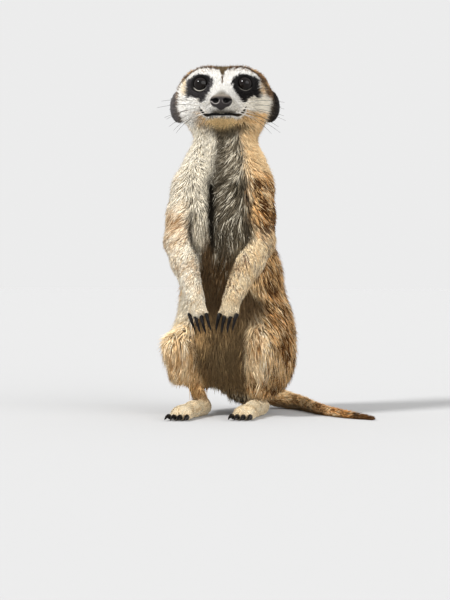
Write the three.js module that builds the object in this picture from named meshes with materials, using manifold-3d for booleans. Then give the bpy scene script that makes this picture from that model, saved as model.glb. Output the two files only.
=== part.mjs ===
// A meerkat that sits up on its hind feet with its tail laid on the floor, as a still, life-size model.
// Millimetres, +Z up. The animal faces -Y and its own left side is +X. The floor is Z = 0, and the
// origin is under the middle of the whole model's box.
//
// Each piece of flesh is a smooth distance field, built from ellipsoids and round cones. Its outer
// surface is the tips of the coat. Lengths in the fields are in hundredths of the sitting height.

import * as THREE from "three";
import { mergeVertices } from "three/addons/utils/BufferGeometryUtils.js";
import Module from "manifold-3d";

const SITTING_HEIGHT = 275; // floor to crown, mm
const GAP_MM = 0.35; // between neighbouring solids
const UNIT = SITTING_HEIGHT / 100; // mm in one hundredth of the height
const GAP = GAP_MM / UNIT;

const HEAD_PITCH = THREE.MathUtils.degToRad(-8); // nose raised
const HEAD_YAW = THREE.MathUtils.degToRad(13.5); // turned to the animal's left
const HEAD_AT = [0.5, -3.0, 91.0];

const wasm = await Module();
wasm.setup();

const v = (x, y, z) => new THREE.Vector3(x, y, z);
const vec = (p) => v(...p);
const lerp = THREE.MathUtils.lerp;

// ---------- distance fields: negative inside, positive outside ----------

function ellipsoid(centre, radii, turn = [0, 0, 0]) {
  const back = new THREE.Matrix4().makeRotationFromEuler(new THREE.Euler(...turn)).transpose();
  const middle = vec(centre);
  const [a, b, c] = radii;
  return (p) => {
    const q = p.clone().sub(middle).applyMatrix4(back);
    const near = Math.hypot(q.x / a, q.y / b, q.z / c);
    const slope = Math.hypot(q.x / (a * a), q.y / (b * b), q.z / (c * c));
    return slope > 0 ? (near * (near - 1)) / slope : -Math.min(a, b, c);
  };
}

// Two balls and the cone that wraps them.
function roundCone(from, to, radiusFrom, radiusTo) {
  const start = vec(from);
  const axis = vec(to).sub(start);
  const length = axis.length();
  axis.normalize();
  const lean = (radiusFrom - radiusTo) / length;
  const rise = Math.sqrt(1 - lean * lean);
  return (p) => {
    const q = p.clone().sub(start);
    const along = q.dot(axis);
    const out = Math.sqrt(Math.max(q.lengthSq() - along * along, 0));
    const place = along * rise - out * lean; // how far up the cone's slant the point lies
    if (place < 0) return q.length() - radiusFrom;
    if (place > length * rise) return Math.hypot(along - length, out) - radiusTo;
    return out * rise + along * lean - radiusFrom;
  };
}

// A union whose creases are rounded over about the given width.
const blend = (width, ...fields) => (p) =>
  fields
    .map((field) => field(p))
    .reduce((a, b) => {
      const overlap = Math.max(width - Math.abs(a - b), 0) / width;
      return Math.min(a, b) - (overlap * overlap * width) / 4;
    });

const chain = (width, points, radii) =>
  blend(width, ...points.slice(1).map((p, i) => roundCone(points[i], p, radii[i], radii[i + 1])));

// The part of a field that lies beyond a flat at `from`, on the side of `to`.
const beyond = (field, from, to) => {
  const along = vec(to).sub(vec(from)).normalize();
  return (p) => Math.max(field(p), -p.clone().sub(vec(from)).dot(along));
};

const both = (make) => [make(-1), make(1)];

// ---------- meshes ----------

// How far a ray from inside the field travels before it leaves it.
function reach(field, from, direction) {
  let inside = 0;
  let step = 0.2;
  while (field(direction.clone().multiplyScalar(inside + step).add(from)) < 0) {
    inside += step;
    step = 0.5;
  }
  let outside = inside + step;
  for (let i = 0; i < 12; i++) {
    const middle = (inside + outside) / 2;
    if (field(direction.clone().multiplyScalar(middle).add(from)) < 0) inside = middle;
    else outside = middle;
  }
  return (inside + outside) / 2;
}

// The field's surface as a closed mesh in mm. Rays leave a path inside the field square to it, in
// rings, and fan out over its two ends in steps. `side` is a direction that the path never takes.
function skinAlong(field, path, { rings, caps: [near, far], sides, side = v(1, 0, 0) }) {
  const curve = new THREE.CatmullRomCurve3(path.map(vec), false, "centripetal");
  const rows = [];
  for (let i = 1; i < near; i++) rows.push([0, ((i / near - 1) * Math.PI) / 2]);
  for (let i = 0; i <= rings; i++) rows.push([i / rings, 0]);
  for (let i = 1; i < far; i++) rows.push([1, ((i / far) * Math.PI) / 2]);

  const places = [];
  const cast = (t, tilt, turn) => {
    const from = curve.getPoint(t);
    const tangent = curve.getTangent(t);
    const back = v(0, 0, 0).crossVectors(tangent, side).normalize();
    const across = v(0, 0, 0).crossVectors(back, tangent);
    const ray = across.multiplyScalar(Math.cos(turn)).addScaledVector(back, Math.sin(turn));
    ray.multiplyScalar(Math.cos(tilt)).addScaledVector(tangent, Math.sin(tilt));
    places.push(ray.clone().multiplyScalar(reach(field, from, ray)).add(from).multiplyScalar(UNIT));
  };
  cast(0, -Math.PI / 2, 0);
  for (const [t, tilt] of rows)
    for (let k = 0; k < sides; k++) cast(t, tilt, (2 * Math.PI * k) / sides);
  cast(1, Math.PI / 2, 0);

  const faces = [];
  const last = places.length - 1;
  for (let k = 0; k < sides; k++) {
    const next = (k + 1) % sides;
    faces.push(0, 1 + next, 1 + k, last, last - sides + k, last - sides + next);
    for (let row = 0; row < rows.length - 1; row++) {
      const [low, high] = [1 + row * sides, 1 + (row + 1) * sides];
      faces.push(low + k, low + next, high + next, low + k, high + next, high + k);
    }
  }
  const geometry = new THREE.BufferGeometry().setFromPoints(places);
  geometry.setIndex(faces);
  return geometry;
}

function solidOf(geometry) {
  const plain = geometry.clone();
  plain.deleteAttribute("normal");
  plain.deleteAttribute("uv");
  const merged = mergeVertices(plain, 1e-3);
  return new wasm.Manifold(
    new wasm.Mesh({
      numProp: 3,
      vertProperties: merged.attributes.position.array,
      triVerts: new Uint32Array(merged.index.array),
    }),
  );
}

function geometryOf(solid) {
  const mesh = solid.getMesh();
  const geometry = new THREE.BufferGeometry();
  geometry.setAttribute("position", new THREE.BufferAttribute(mesh.vertProperties, 3));
  geometry.setIndex(new THREE.BufferAttribute(mesh.triVerts, 1));
  const faceted = geometry.toNonIndexed();
  faceted.computeVertexNormals();
  return faceted;
}

const largest = (solid) => solid.decompose().reduce((a, b) => (b.volume() > a.volume() ? b : a));

// ---------- the animal's parts ----------
// A part is its name, material and lumps. A lump is a field, the path that its rings follow and how
// fine they are. Parts are made in order, and each is cut back, with a gap, from those before it.

const parts = [];
const lump = (field, path, detail) => ({ field, path, detail });
const part = (name, material, ...lumps) => parts.push({ name, material, lumps });

// The head is laid out level and symmetric round its own middle, then turned and set on the neck.
const headTurn = new THREE.Matrix4().makeRotationFromEuler(
  new THREE.Euler(HEAD_PITCH, 0, HEAD_YAW, "ZYX"),
);
const headPlace = headTurn.clone().setPosition(vec(HEAD_AT));
const headBack = headPlace.clone().invert();
const headPoint = (x, y, z) => v(x, y, z).applyMatrix4(headPlace).toArray();
const inHead = (field) => (p) => field(p.clone().applyMatrix4(headBack));

const EYE = [6.05, -6.3, 1.3];
const EYE_RADIUS = 2.1;
const NOSE = [0, -15.7, -6.0];

function eyesAndNose() {
  for (const [name, way] of [["eye_right", -1], ["eye_left", 1]]) {
    const [x, y, z] = [way * EYE[0], EYE[1], EYE[2]];
    const ball = inHead(ellipsoid([x, y, z], Array(3).fill(EYE_RADIUS)));
    const path = [headPoint(x, y + 0.4, z), headPoint(x, y - 0.4, z)];
    part(name, "eye", lump(ball, path, { rings: 1, caps: [2, 4], sides: 11 }));
  }
  const [, y, z] = NOSE;
  const pad = blend(
    0.8,
    ellipsoid(NOSE, [2.3, 1.5, 1.5]),
    ...both((way) => ellipsoid([way * 1.5, y + 0.35, z + 0.1], [1.25, 1.4, 1.35])),
    ellipsoid([0, y - 0.1, z - 1.2], [0.9, 1.0, 1.0]),
  );
  const path = [headPoint(0, y + 0.8, z), headPoint(0, y - 0.4, z)];
  part("nose", "nose", lump(inHead(pad), path, { rings: 2, caps: [1, 3], sides: 14 }));
}

// A small rounded flap, set low on the side of the head, that opens forwards and outwards.
function ears() {
  for (const [name, way] of [["ear_right", -1], ["ear_left", 1]]) {
    const turn = [0, way * 0.1, way * 0.8];
    const flap = ellipsoid([way * 12.8, 5.0, -2.0], [3.9, 1.35, 4.6], turn);
    const hollow = ellipsoid([way * 13.9, 3.7, -1.8], [2.7, 1.25, 3.4], turn);
    const cup = (p) => Math.max(flap(p), -hollow(p));
    const path = [-4.6, -2.0, 0.6].map((height) => headPoint(way * 12.6, 5.3, height));
    const detail = { rings: 4, caps: [3, 3], sides: 10, side: v(0, 1, 0) };
    part(name, "ear", lump(inHead(cup), path, detail));
  }
}

function neck() {
  const field = blend(
    4,
    ellipsoid([0, 0.2, 68], [12.3, 9.6, 8]),
    roundCone([0, -0.6, 70], [0.4, -0.8, 84], 8.8, 7.8),
    ellipsoid([0.1, -0.2, 73], [10.2, 8.4, 7]),
    ellipsoid([0.4, 0.3, 84.2], [10.6, 8.1, 6.2]),
  );
  const detail = { rings: 6, caps: [2, 2], sides: 18 };
  part("neck", "throat", lump(field, [[0, 0.2, 68], [0.4, -0.2, 84]], detail));
}

function lowerJaw() {
  const field = blend(
    2.4,
    ellipsoid([0, -1.0, -6.2], [7.4, 7.4, 3.5]),
    roundCone([0, -5.0, -7.3], [0, -11.6, -8.3], 3.1, 1.6),
  );
  const path = [headPoint(0, 2, -6.4), headPoint(0, -4, -7.2), headPoint(0, -11.6, -8.2)];
  part("lower_jaw", "face", lump(inHead(field), path, { rings: 6, caps: [2, 3], sides: 14 }));
}

function skull() {
  const field = blend(
    2.8,
    ellipsoid([0, 2.4, 0.6], [11.4, 9.8, 7.6]),
    ...both((way) => ellipsoid([way * 5.0, 1.0, 2.2], [5.4, 7.6, 5.5])),
    ...both((way) => ellipsoid([way * 8.5, 3.0, 0.8], [4.6, 6.4, 5.8])),
    ...both((way) => ellipsoid([way * 7.2, 0.8, -4.0], [5.0, 6.8, 4.8])),
    ellipsoid([0, 4.8, -5.0], [9.6, 6.6, 6.2]),
    ...both((way) => ellipsoid([way * 5.5, -4.2, 2.0], [3.7, 3.0, 3.4])),
    roundCone([0, -4.2, -2.4], [0, -12.8, -5.8], 4.8, 2.7),
    ...both((way) => ellipsoid([way * 2.1, -11.8, -6.7], [2.3, 3.0, 1.7])),
  );
  const path = [[7, -1], [2, -1], [-6, -2.6], [-13, -6.0]].map(([y, z]) => headPoint(0, y, z));
  part("head", "face", lump(inHead(field), path, { rings: 17, caps: [3, 3], sides: 24 }));
}

function trunk() {
  const field = blend(
    5,
    ellipsoid([0, -0.2, 65.5], [12.0, 10.0, 10]),
    ellipsoid([0, 0.6, 54], [11.8, 11.8, 17]),
    ellipsoid([0.3, 6.2, 37.5], [14.9, 13.4, 19.5]),
    ellipsoid([0.5, 9.4, 25], [15.4, 14.2, 16]),
    ellipsoid([0, 12.0, 16], [13.6, 14.0, 13.4]),
  );
  const path = [[0, 13, 9], [0, 9, 20], [0, 5.5, 34], [0, 1, 50], [0, -0.2, 64]];
  part("trunk", "flank", lump(field, path, { rings: 12, caps: [3, 2], sides: 20 }));
}

const DIGITS = 4;
const between = (a, b, t) => a.map((x, i) => lerp(x, b[i], t));
const shifted = (p, by) => p.map((x, i) => x + by[i]);

// A digit's place in the row of four, from -1 to 1.
const spread = (digit) => (2 * digit) / (DIGITS - 1) - 1;

// A long claw that curves from the digit's rounded end to its tip: `bow` moves its middle.
function claw(name, end, tip, bow, digitRadius) {
  const root = between(end, tip, (digitRadius + GAP) / vec(tip).distanceTo(vec(end)));
  const middle = shifted(between(root, tip, 0.5), bow);
  const field = beyond(chain(0.3, [root, middle, tip], [0.66, 0.5, 0.19]), root, tip);
  const path = [between(root, tip, 0.02), middle, tip];
  part(name, "claw", lump(field, path, { rings: 3, caps: [1, 1], sides: 5, side: v(0.9, 0.3, 0.1) }));
}

// Joints of the limbs. The animal's right side has x below 0.
const ARMS = [
  {
    side: "right",
    shoulder: [-9.8, -3.0, 64.4],
    elbow: [-11.6, -7.4, 49.6],
    wrist: [-4.2, -14.9, 33.2],
    knuckles: [-3.3, -15.8, 29.9],
    clawTips: [-1.7, -15.6, 23.6],
    radii: [5.1, 4.6, 3.9, 3.6, 2.5],
  },
  {
    side: "left",
    shoulder: [9.4, -2.2, 64.4],
    elbow: [10.7, -2.6, 49.4],
    wrist: [5.7, -13.0, 33.4],
    knuckles: [5.2, -14.1, 29.9],
    clawTips: [3.9, -14.2, 23.6],
    radii: [5.1, 4.9, 4.4, 3.9, 2.6],
  },
];

function arm({ side, shoulder, elbow, wrist, knuckles, clawTips, radii }) {
  const digits = [];
  for (let digit = 0; digit < DIGITS; digit++) {
    const place = spread(digit);
    const root = shifted(knuckles, [1.8 * place, 0, 0.6]);
    const bent = between(knuckles, clawTips, 0.12 - 0.08 * Math.abs(place));
    const end = shifted(bent, [2.45 * place, -0.2, 0]);
    const tip = shifted(clawTips, [2.3 * place, 0, 1.1 * Math.abs(place)]);
    claw(`hand_claw_${side}_${digit + 1}`, end, tip, [0, -0.6, 0.2], 0.78);
    digits.push(lump(roundCone(root, end, 0.9, 0.78), [root, end], { rings: 1, caps: [1, 2], sides: 6 }));
  }
  const upper = chain(2, [shoulder, between(shoulder, elbow, 0.5), elbow], radii.slice(0, 3));
  const upperDetail = { rings: 4, caps: [3, 3], sides: 12 };
  part("upper_arm_" + side, "arm", lump(upper, [shoulder, elbow], upperDetail));
  const fore = chain(2, [elbow, between(elbow, wrist, 0.35), wrist], radii.slice(2));
  const foreDetail = { rings: 5, caps: [2, 1], sides: 12 };
  part("forearm_" + side, "arm", lump(fore, [elbow, wrist], foreDetail));

  const palm = blend(
    1,
    ellipsoid(between(wrist, knuckles, 0.75), [2.7, 1.7, 2.3]),
    roundCone(wrist, knuckles, 2.3, 1.6),
  );
  const palmPath = [between(wrist, knuckles, 0.1), between(wrist, knuckles, 0.9)];
  const palmLump = lump(palm, palmPath, { rings: 2, caps: [1, 2], sides: 10 });
  part("hand_" + side, "paw", palmLump, ...digits);
}

const LEGS = [
  {
    side: "right",
    way: -1,
    haunch: [-8.2, 8.6, 20.0],
    knee: [-12.2, -6.2, 20.6],
    ankle: [-7.6, 1.0, 5.2],
    heel: [-7.2, 2.0, 2.5],
    ball: [-8.8, -12.6, 1.9],
  },
  {
    side: "left",
    way: 1,
    haunch: [9.2, 9.0, 20.0],
    knee: [11.6, -3.6, 20.6],
    ankle: [8.6, 6.2, 5.4],
    heel: [8.6, 7.2, 2.5],
    ball: [7.8, -7.2, 1.9],
  },
];

function leg({ side, way, haunch, knee, ankle, heel, ball }) {
  const digits = [];
  for (let digit = 0; digit < DIGITS; digit++) {
    const place = spread(digit);
    const root = [ball[0] + 2.0 * place, ball[1] - 0.6, 1.3];
    const end = [ball[0] + 2.55 * place, ball[1] - 4.0 + 1.1 * Math.abs(place), 0.95];
    const tip = [ball[0] + 2.8 * place, end[1] - 4.2, 0.4];
    claw(`foot_claw_${side}_${digit + 1}`, end, tip, [0, 0, 0.55], 0.92);
    digits.push(lump(roundCone(root, end, 1.15, 0.92), [root, end], { rings: 1, caps: [1, 2], sides: 7 }));
  }
  const thigh = blend(
    4,
    ellipsoid(haunch, [7.8, 12.4, 13.4]),
    ellipsoid(shifted(haunch, [0.6 * way, -1, -6.0]), [6.6, 10, 8.4]),
    roundCone(between(haunch, knee, 0.35), knee, 6.4, 4.6),
    ellipsoid(shifted(knee, [0, 2.0, -5.4]), [3.9, 5.0, 6.4]),
  );
  const thighPath = [shifted(haunch, [0, 5, -2]), shifted(haunch, [0, 0, -2]), shifted(knee, [0, 1, -2])];
  part("thigh_" + side, "haunch", lump(thigh, thighPath, { rings: 8, caps: [3, 3], sides: 16 }));

  const shankTop = between(knee, ankle, 0.15);
  const shank = roundCone(shankTop, ankle, 3.3, 2.0);
  part("shank_" + side, "leg", lump(shank, [shankTop, ankle], { rings: 3, caps: [1, 2], sides: 10 }));

  const arch = between(heel, ball, 0.5);
  const sole = blend(
    1.5,
    roundCone(heel, arch, 2.55, 2.2),
    roundCone(arch, ball, 2.2, 2.1),
    ...both((end) => ellipsoid(shifted(ball, [1.3 * end, 0.4, -0.3]), [2.0, 2.8, 1.7])),
  );
  const solePath = [shifted(heel, [0, 0, -0.3]), shifted(ball, [0, 0.5, -0.3])];
  const soleLump = lump(sole, solePath, { rings: 4, caps: [3, 2], sides: 12 });
  part("foot_" + side, "paw", soleLump, ...digits);
}

// The tail leaves the rump, reaches the floor behind it and sweeps round to the animal's left.
const TAIL_PATH = [
  [0, 21.5, 12.0],
  [2.6, 28.4, 6.2],
  [8.6, 31.6, 3.1],
  [15.4, 28.2, 2.1],
  [21.0, 20.0, 1.7],
  [27.0, 10.9, 1.4],
  [34.2, 3.8, 1.12],
  [42.6, -0.6, 0.65],
];
const TAIL_RADII = [5.2, 4.0, 2.8, 2.2, 1.8, 1.5, 1.2, 0.7];
const STEPS_PER_THIRD = 4;

function tail() {
  const centres = new THREE.CatmullRomCurve3(TAIL_PATH.map(vec), false, "centripetal");
  const radii = new THREE.CatmullRomCurve3(TAIL_RADII.map((r) => v(r, 0, 0)), false, "catmullrom");
  ["tail_base", "tail_middle", "tail_tip"].forEach((name, third) => {
    const steps = [...Array(STEPS_PER_THIRD + 1).keys()];
    const places = steps.map((step) => (third + step / STEPS_PER_THIRD) / 3);
    const points = places.map((t) => centres.getPoint(t).toArray());
    const field = chain(0.6, points, places.map((t) => radii.getPoint(t).x));
    const detail = { rings: 6, caps: [1, third < 2 ? 1 : 2], sides: 9, side: v(0, 0, 1) };
    part(name, third < 2 ? "flank" : "tail_end", lump(field, points, detail));
  });
}

eyesAndNose();
ears();
neck();
lowerJaw();
skull();
trunk();
ARMS.forEach(arm);
LEGS.forEach(leg);
tail();

// ---------- solids ----------

const COLOURS = {
  face: 0xe9e4da,
  throat: 0xd8ccb4,
  flank: 0xb08d5e,
  haunch: 0xc3a372,
  arm: 0xcdb68c,
  leg: 0xb9966a,
  paw: 0xd9c49c,
  tail_end: 0x7a5330,
  ear: 0x17140f,
  nose: 0x3a2f2a,
  eye: 0x0c0908,
  claw: 0x0e0d0d,
};
const SMOOTH = { eye: 0.08, nose: 0.4, claw: 0.35 };

const FLOOR_MM = 400;
const floor = solidOf(new THREE.BoxGeometry(FLOOR_MM, FLOOR_MM, 20).translate(0, 0, -10));

const grown = (field, by) => (p) => field(p) - by;
const solidFrom = (lumps, by) =>
  lumps
    .map(({ field, path, detail }) => solidOf(skinAlong(grown(field, by), path, detail)))
    .reduce((a, b) => a.add(b));

const overlap = (a, b) => {
  const [p, q] = [a.boundingBox(), b.boundingBox()];
  return [0, 1, 2].every((i) => p.min[i] < q.max[i] && q.min[i] < p.max[i]);
};

const meerkat = new THREE.Group();
const cutters = [];
for (const { name, material, lumps } of parts) {
  let solid = solidFrom(lumps, 0).subtract(floor);
  for (const cutter of cutters) if (overlap(solid, cutter)) solid = solid.subtract(cutter);
  const finish = new THREE.MeshStandardMaterial({
    color: COLOURS[material],
    roughness: SMOOTH[material] ?? 0.9,
    metalness: 0,
  });
  const mesh = new THREE.Mesh(geometryOf(largest(solid)), finish);
  mesh.name = name;
  meerkat.add(mesh);
  cutters.push(solidFrom(lumps, GAP));
}

const box = new THREE.Box3().setFromObject(meerkat);
const middle = box.getCenter(v(0, 0, 0));
meerkat.position.set(-middle.x, -middle.y, 0);

export default meerkat;
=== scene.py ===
"""A meerkat that sits up on its hind feet: the visual model, its floor, lights and camera.

Lengths in the distance fields are in hundredths of the sitting height, in the same frame as the
solids: +Z up, the chest faces -Y and +X is the animal's left. Blender's objects are in metres.
Points come as arrays with a row for each. Left and right are the animal's own.
"""

import math
from concurrent.futures import ThreadPoolExecutor

import bpy
import numpy as np
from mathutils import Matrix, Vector


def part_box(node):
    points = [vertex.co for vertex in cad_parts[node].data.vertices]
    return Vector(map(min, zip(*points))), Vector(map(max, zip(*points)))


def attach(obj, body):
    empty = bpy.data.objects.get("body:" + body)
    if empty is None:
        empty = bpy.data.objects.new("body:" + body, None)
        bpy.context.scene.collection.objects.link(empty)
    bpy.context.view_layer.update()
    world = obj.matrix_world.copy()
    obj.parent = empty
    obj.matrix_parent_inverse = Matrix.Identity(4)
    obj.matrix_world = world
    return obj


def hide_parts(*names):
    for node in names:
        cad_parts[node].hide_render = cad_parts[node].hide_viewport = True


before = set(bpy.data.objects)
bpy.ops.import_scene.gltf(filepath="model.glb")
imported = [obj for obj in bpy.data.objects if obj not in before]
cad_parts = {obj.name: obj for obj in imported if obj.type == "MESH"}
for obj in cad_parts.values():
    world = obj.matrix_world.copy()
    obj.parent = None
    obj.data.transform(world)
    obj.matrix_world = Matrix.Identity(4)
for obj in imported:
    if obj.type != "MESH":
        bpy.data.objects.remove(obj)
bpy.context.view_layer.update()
random = np.random.default_rng(11)

# ---------- the frame of the solids ----------

SITTING_HEIGHT = 0.275
UNIT = SITTING_HEIGHT / 100
MM = 0.001 / UNIT  # one millimetre, in hundredths of the height
WAY = {"right": -1, "left": 1}  # the sign of x on each side

HEAD_PITCH, HEAD_YAW = math.radians(-8), math.radians(13.5)
HEAD_AT = np.array([0.5, -3.0, 91.0])
EYE = (6.05, -6.3, 1.3)  # the left one, in the head's own frame
EYE_RADIUS = 2.2
NOSE = (0, -15.7, -6.0)


def turn_matrix(x, y, z):
    """Rotation about X, then Y, then Z as three.js orders XYZ: the product Rx Ry Rz."""
    (a, b), (c, d), (e, f) = [(math.cos(t), math.sin(t)) for t in (x, y, z)]
    return (
        np.array([[1, 0, 0], [0, a, -b], [0, b, a]])
        @ np.array([[c, 0, d], [0, 1, 0], [-d, 0, c]])
        @ np.array([[e, -f, 0], [f, e, 0], [0, 0, 1]])
    )


HEAD_TURN = turn_matrix(0, 0, HEAD_YAW) @ turn_matrix(HEAD_PITCH, 0, 0)


def to_head(p):
    return (p - HEAD_AT) @ HEAD_TURN


def from_head(q):
    return np.asarray(q, float) @ HEAD_TURN.T + HEAD_AT


def box_middle(node):
    low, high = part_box(node)
    return (np.array(low) + np.array(high)) / 2


eyes_middle = (box_middle("eye_left") + box_middle("eye_right")) / 2
ORIGIN = eyes_middle - UNIT * from_head([0, EYE[1], EYE[2]])
ORIGIN[2] = 0


def to_world(p):
    return np.asarray(p, float) * UNIT + ORIGIN


# ---------- distance fields: negative inside, positive outside ----------


def ball(p, centre, radii, turn=None):
    q = p - np.array(centre, float)
    if turn is not None:
        q = q @ turn
    q = q / np.array(radii, float)
    near = np.sqrt(np.einsum("ij,ij->i", q, q))
    q /= np.array(radii, float)
    steep = np.sqrt(np.einsum("ij,ij->i", q, q))
    return near * (near - 1) / np.maximum(steep, 1e-9)


def cone(p, start, end, radius_start, radius_end):
    """Two balls and the cone that wraps them."""
    axis = np.array(end, float) - start
    length = np.linalg.norm(axis)
    axis /= length
    lean = (radius_start - radius_end) / length
    rise = math.sqrt(1 - lean * lean)
    q = p - np.array(start, float)
    along = q @ axis
    square = np.einsum("ij,ij->i", q, q)
    out = np.sqrt(np.maximum(square - along * along, 0))
    place = along * rise - out * lean
    distance = out * rise + along * lean - radius_start
    distance = np.where(place < 0, np.sqrt(square) - radius_start, distance)
    return np.where(place > length * rise, np.hypot(along - length, out) - radius_end, distance)


def join(width, first, *others):
    """A union whose creases are rounded over about the given width."""
    for other in others:
        overlap = np.maximum(width - np.abs(first - other), 0) / width
        first = np.minimum(first, other) - overlap * overlap * width / 4
    return first


def carve(width, first, other):
    """What is in the first and not in the other, with a rounded edge."""
    return -join(width, -first, other)


def chain(p, width, points, radii):
    links = zip(points[:-1], points[1:], radii[:-1], radii[1:])
    return join(width, *[cone(p, a, b, ra, rb) for a, b, ra, rb in links])


def between(a, b, t):
    return np.array(a, float) * (1 - t) + np.array(b, float) * t


def ramp(x, low, high):
    """0 below the low end, 1 above the high one, and smooth between them."""
    t = np.clip((x - low) / (high - low), 0, 1)
    return t * t * (3 - 2 * t)


def fall(x, low, high):
    """1 below the low end and 0 above the high one."""
    return 1 - ramp(x, low, high)


# ---------- the parts of the body ----------

ARMS = {
    "right": dict(
        shoulder=(-9.8, -3.0, 64.4),
        elbow=(-11.6, -7.4, 49.6),
        wrist=(-4.2, -14.9, 33.2),
        knuckles=(-3.3, -15.8, 29.9),
        claw_tips=(-1.7, -15.6, 23.6),
        radii=(5.1, 4.6, 3.9, 3.6, 2.5),
    ),
    "left": dict(
        shoulder=(9.4, -2.2, 64.4),
        elbow=(10.7, -2.6, 49.4),
        wrist=(5.7, -13.0, 33.4),
        knuckles=(5.2, -14.1, 29.9),
        claw_tips=(3.9, -14.2, 23.6),
        radii=(5.1, 4.9, 4.4, 3.9, 2.6),
    ),
}
LEGS = {
    "right": dict(
        haunch=(-8.2, 8.6, 20.0),
        knee=(-12.2, -6.2, 20.6),
        ankle=(-7.6, 1.0, 5.2),
        heel=(-7.2, 2.0, 2.5),
        ball=(-8.8, -12.6, 1.9),
    ),
    "left": dict(
        haunch=(9.2, 9.0, 20.0),
        knee=(11.6, -3.6, 20.6),
        ankle=(8.6, 6.2, 5.4),
        heel=(8.6, 7.2, 2.5),
        ball=(7.8, -7.2, 1.9),
    ),
}
TAIL_PATH = [
    (0, 21.5, 12.0),
    (2.6, 28.4, 6.2),
    (8.6, 31.6, 3.1),
    (15.4, 28.2, 2.1),
    (21.0, 20.0, 1.7),
    (27.0, 10.9, 1.4),
    (34.2, 3.8, 1.12),
    (42.6, -0.6, 0.65),
]
TAIL_RADII = [5.2, 4.0, 2.8, 2.2, 1.8, 1.5, 1.2, 0.7]
TAIL_STEPS = 16
DIGIT_PLACES = (-1, -1 / 3, 1 / 3, 1)  # a digit's place in the row of four


def unit(v):
    return v / np.maximum(np.linalg.norm(v, axis=1, keepdims=True), 1e-9)


def smooth_path(points, count):
    """Evenly spread points on a Catmull-Rom curve through the given ones."""
    points = np.array(points, float)
    points = np.vstack([2 * points[0] - points[1], points, 2 * points[-1] - points[-2]])
    spans = len(points) - 3
    made = []
    for t in np.linspace(0, spans, count):
        i = min(int(t), spans - 1)
        a, b, c, d = points[i : i + 4]
        s = t - i
        square, cube = 2 * a - 5 * b + 4 * c - d, 3 * b - a - 3 * c + d
        made.append(0.5 * (2 * b + (c - a) * s + square * s**2 + cube * s**3))
    return np.array(made)


TAIL = smooth_path(TAIL_PATH, TAIL_STEPS)
TAIL_WIDTHS = smooth_path([(r, 0, 0) for r in TAIL_RADII], TAIL_STEPS)[:, 0]
TAIL_WAY = unit(np.gradient(TAIL, axis=0))


def nearest_on_tail(p):
    return ((p[:, None] - TAIL[None]) ** 2).sum(2).argmin(1)


def arm_digits(side):
    """Root and end of each finger, and its claw's tip."""
    knuckles, claw_tips = ARMS[side]["knuckles"], ARMS[side]["claw_tips"]
    for place in DIGIT_PLACES:
        root = np.add(knuckles, (1.8 * place, 0, 0.6))
        end = between(knuckles, claw_tips, 0.12 - 0.08 * abs(place)) + (2.45 * place, -0.2, 0)
        yield root, end, np.add(claw_tips, (2.3 * place, 0, 1.1 * abs(place)))


def leg_digits(side):
    """Root and end of each toe, and its claw's tip."""
    x, y, _ = LEGS[side]["ball"]
    for place in DIGIT_PLACES:
        root = np.array((x + 2.0 * place, y - 0.6, 1.3))
        end = np.array((x + 2.55 * place, y - 4.0 + 1.1 * abs(place), 0.95))
        yield root, end, np.array((x + 2.8 * place, end[1] - 4.2, 0.4))


def skull(q):
    def both(x, y, z, *radii):
        return ball(q, (-x, y, z), radii), ball(q, (x, y, z), radii)

    return join(
        2.8,
        ball(q, (0, 2.4, 0.6), (11.4, 9.8, 7.6)),  # brain case
        *both(5.0, 1.0, 2.2, 5.4, 7.6, 5.5),  # brows
        *both(8.5, 3.0, 0.8, 4.6, 6.4, 5.8),  # temples
        *both(7.2, 0.8, -4.0, 5.0, 6.8, 4.8),  # cheeks
        ball(q, (0, 4.8, -5.0), (9.6, 6.6, 6.2)),  # nape
        *both(5.7, -4.7, 1.6, 3.9, 3.1, 3.6),  # orbits
        cone(q, (0, -4.2, -2.4), (0, -12.8, -5.8), 4.8, 2.7),  # muzzle
        *both(2.1, -11.8, -6.7, 2.3, 3.0, 1.7),  # upper lips
    )


def jaw(q):
    chin = cone(q, (0, -5.0, -7.3), (0, -11.6, -8.3), 3.1, 1.6)
    return join(2.4, ball(q, (0, -1.0, -6.2), (7.4, 7.4, 3.5)), chin)


def ear(q, way):
    turn = turn_matrix(0, way * 0.1, way * 0.8)
    flap = ball(q, (way * 12.8, 5.0, -2.0), (3.9, 1.35, 4.6), turn)
    hollow = ball(q, (way * 13.9, 3.7, -1.8), (2.7, 1.25, 3.4), turn)
    ridge = ball(q, (way * 13.2, 4.4, -1.0), (0.8, 0.9, 1.9), turn)
    return join(0.4, carve(0.3, flap, hollow), ridge)


def nostrils(q):
    """The two openings: a round mouth with a slit that curls up and back from it."""
    _, y, z = NOSE
    openings = []
    for way in (-1, 1):
        opening = ball(q, (way * 1.4, y - 1.3, z - 0.15), (0.82, 1.0, 0.66))
        slit = cone(q, (way * 1.8, y - 1.1, z - 0.1), (way * 2.8, y - 0.2, z + 0.3), 0.38, 0.2)
        openings.append(join(0.3, opening, slit))
    return np.minimum(*openings)


def nose_pad(q):
    _, y, z = NOSE
    pad = join(
        0.8,
        ball(q, NOSE, (2.45, 1.6, 1.65)),
        *[ball(q, (way * 1.65, y + 0.35, z + 0.1), (1.35, 1.4, 1.5)) for way in (-1, 1)],
        ball(q, (0, y - 0.1, z - 1.4), (1.15, 1.0, 1.1)),
    )
    pad = carve(0.25, pad, nostrils(q))
    cleft = cone(q, (0, y - 1.75, z + 0.1), (0, y - 1.15, z - 2.3), 0.1, 0.16)
    return carve(0.25, pad, cleft)


def neck_field(p):
    return join(
        4,
        ball(p, (0, 0.2, 68), (12.3, 9.6, 8)),
        cone(p, (0, -0.6, 70), (0.4, -0.8, 84), 8.8, 7.8),
        ball(p, (0.1, -0.2, 73), (10.2, 8.4, 7)),
        ball(p, (0.4, 0.3, 84.2), (10.6, 8.1, 6.2)),
    )


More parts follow.
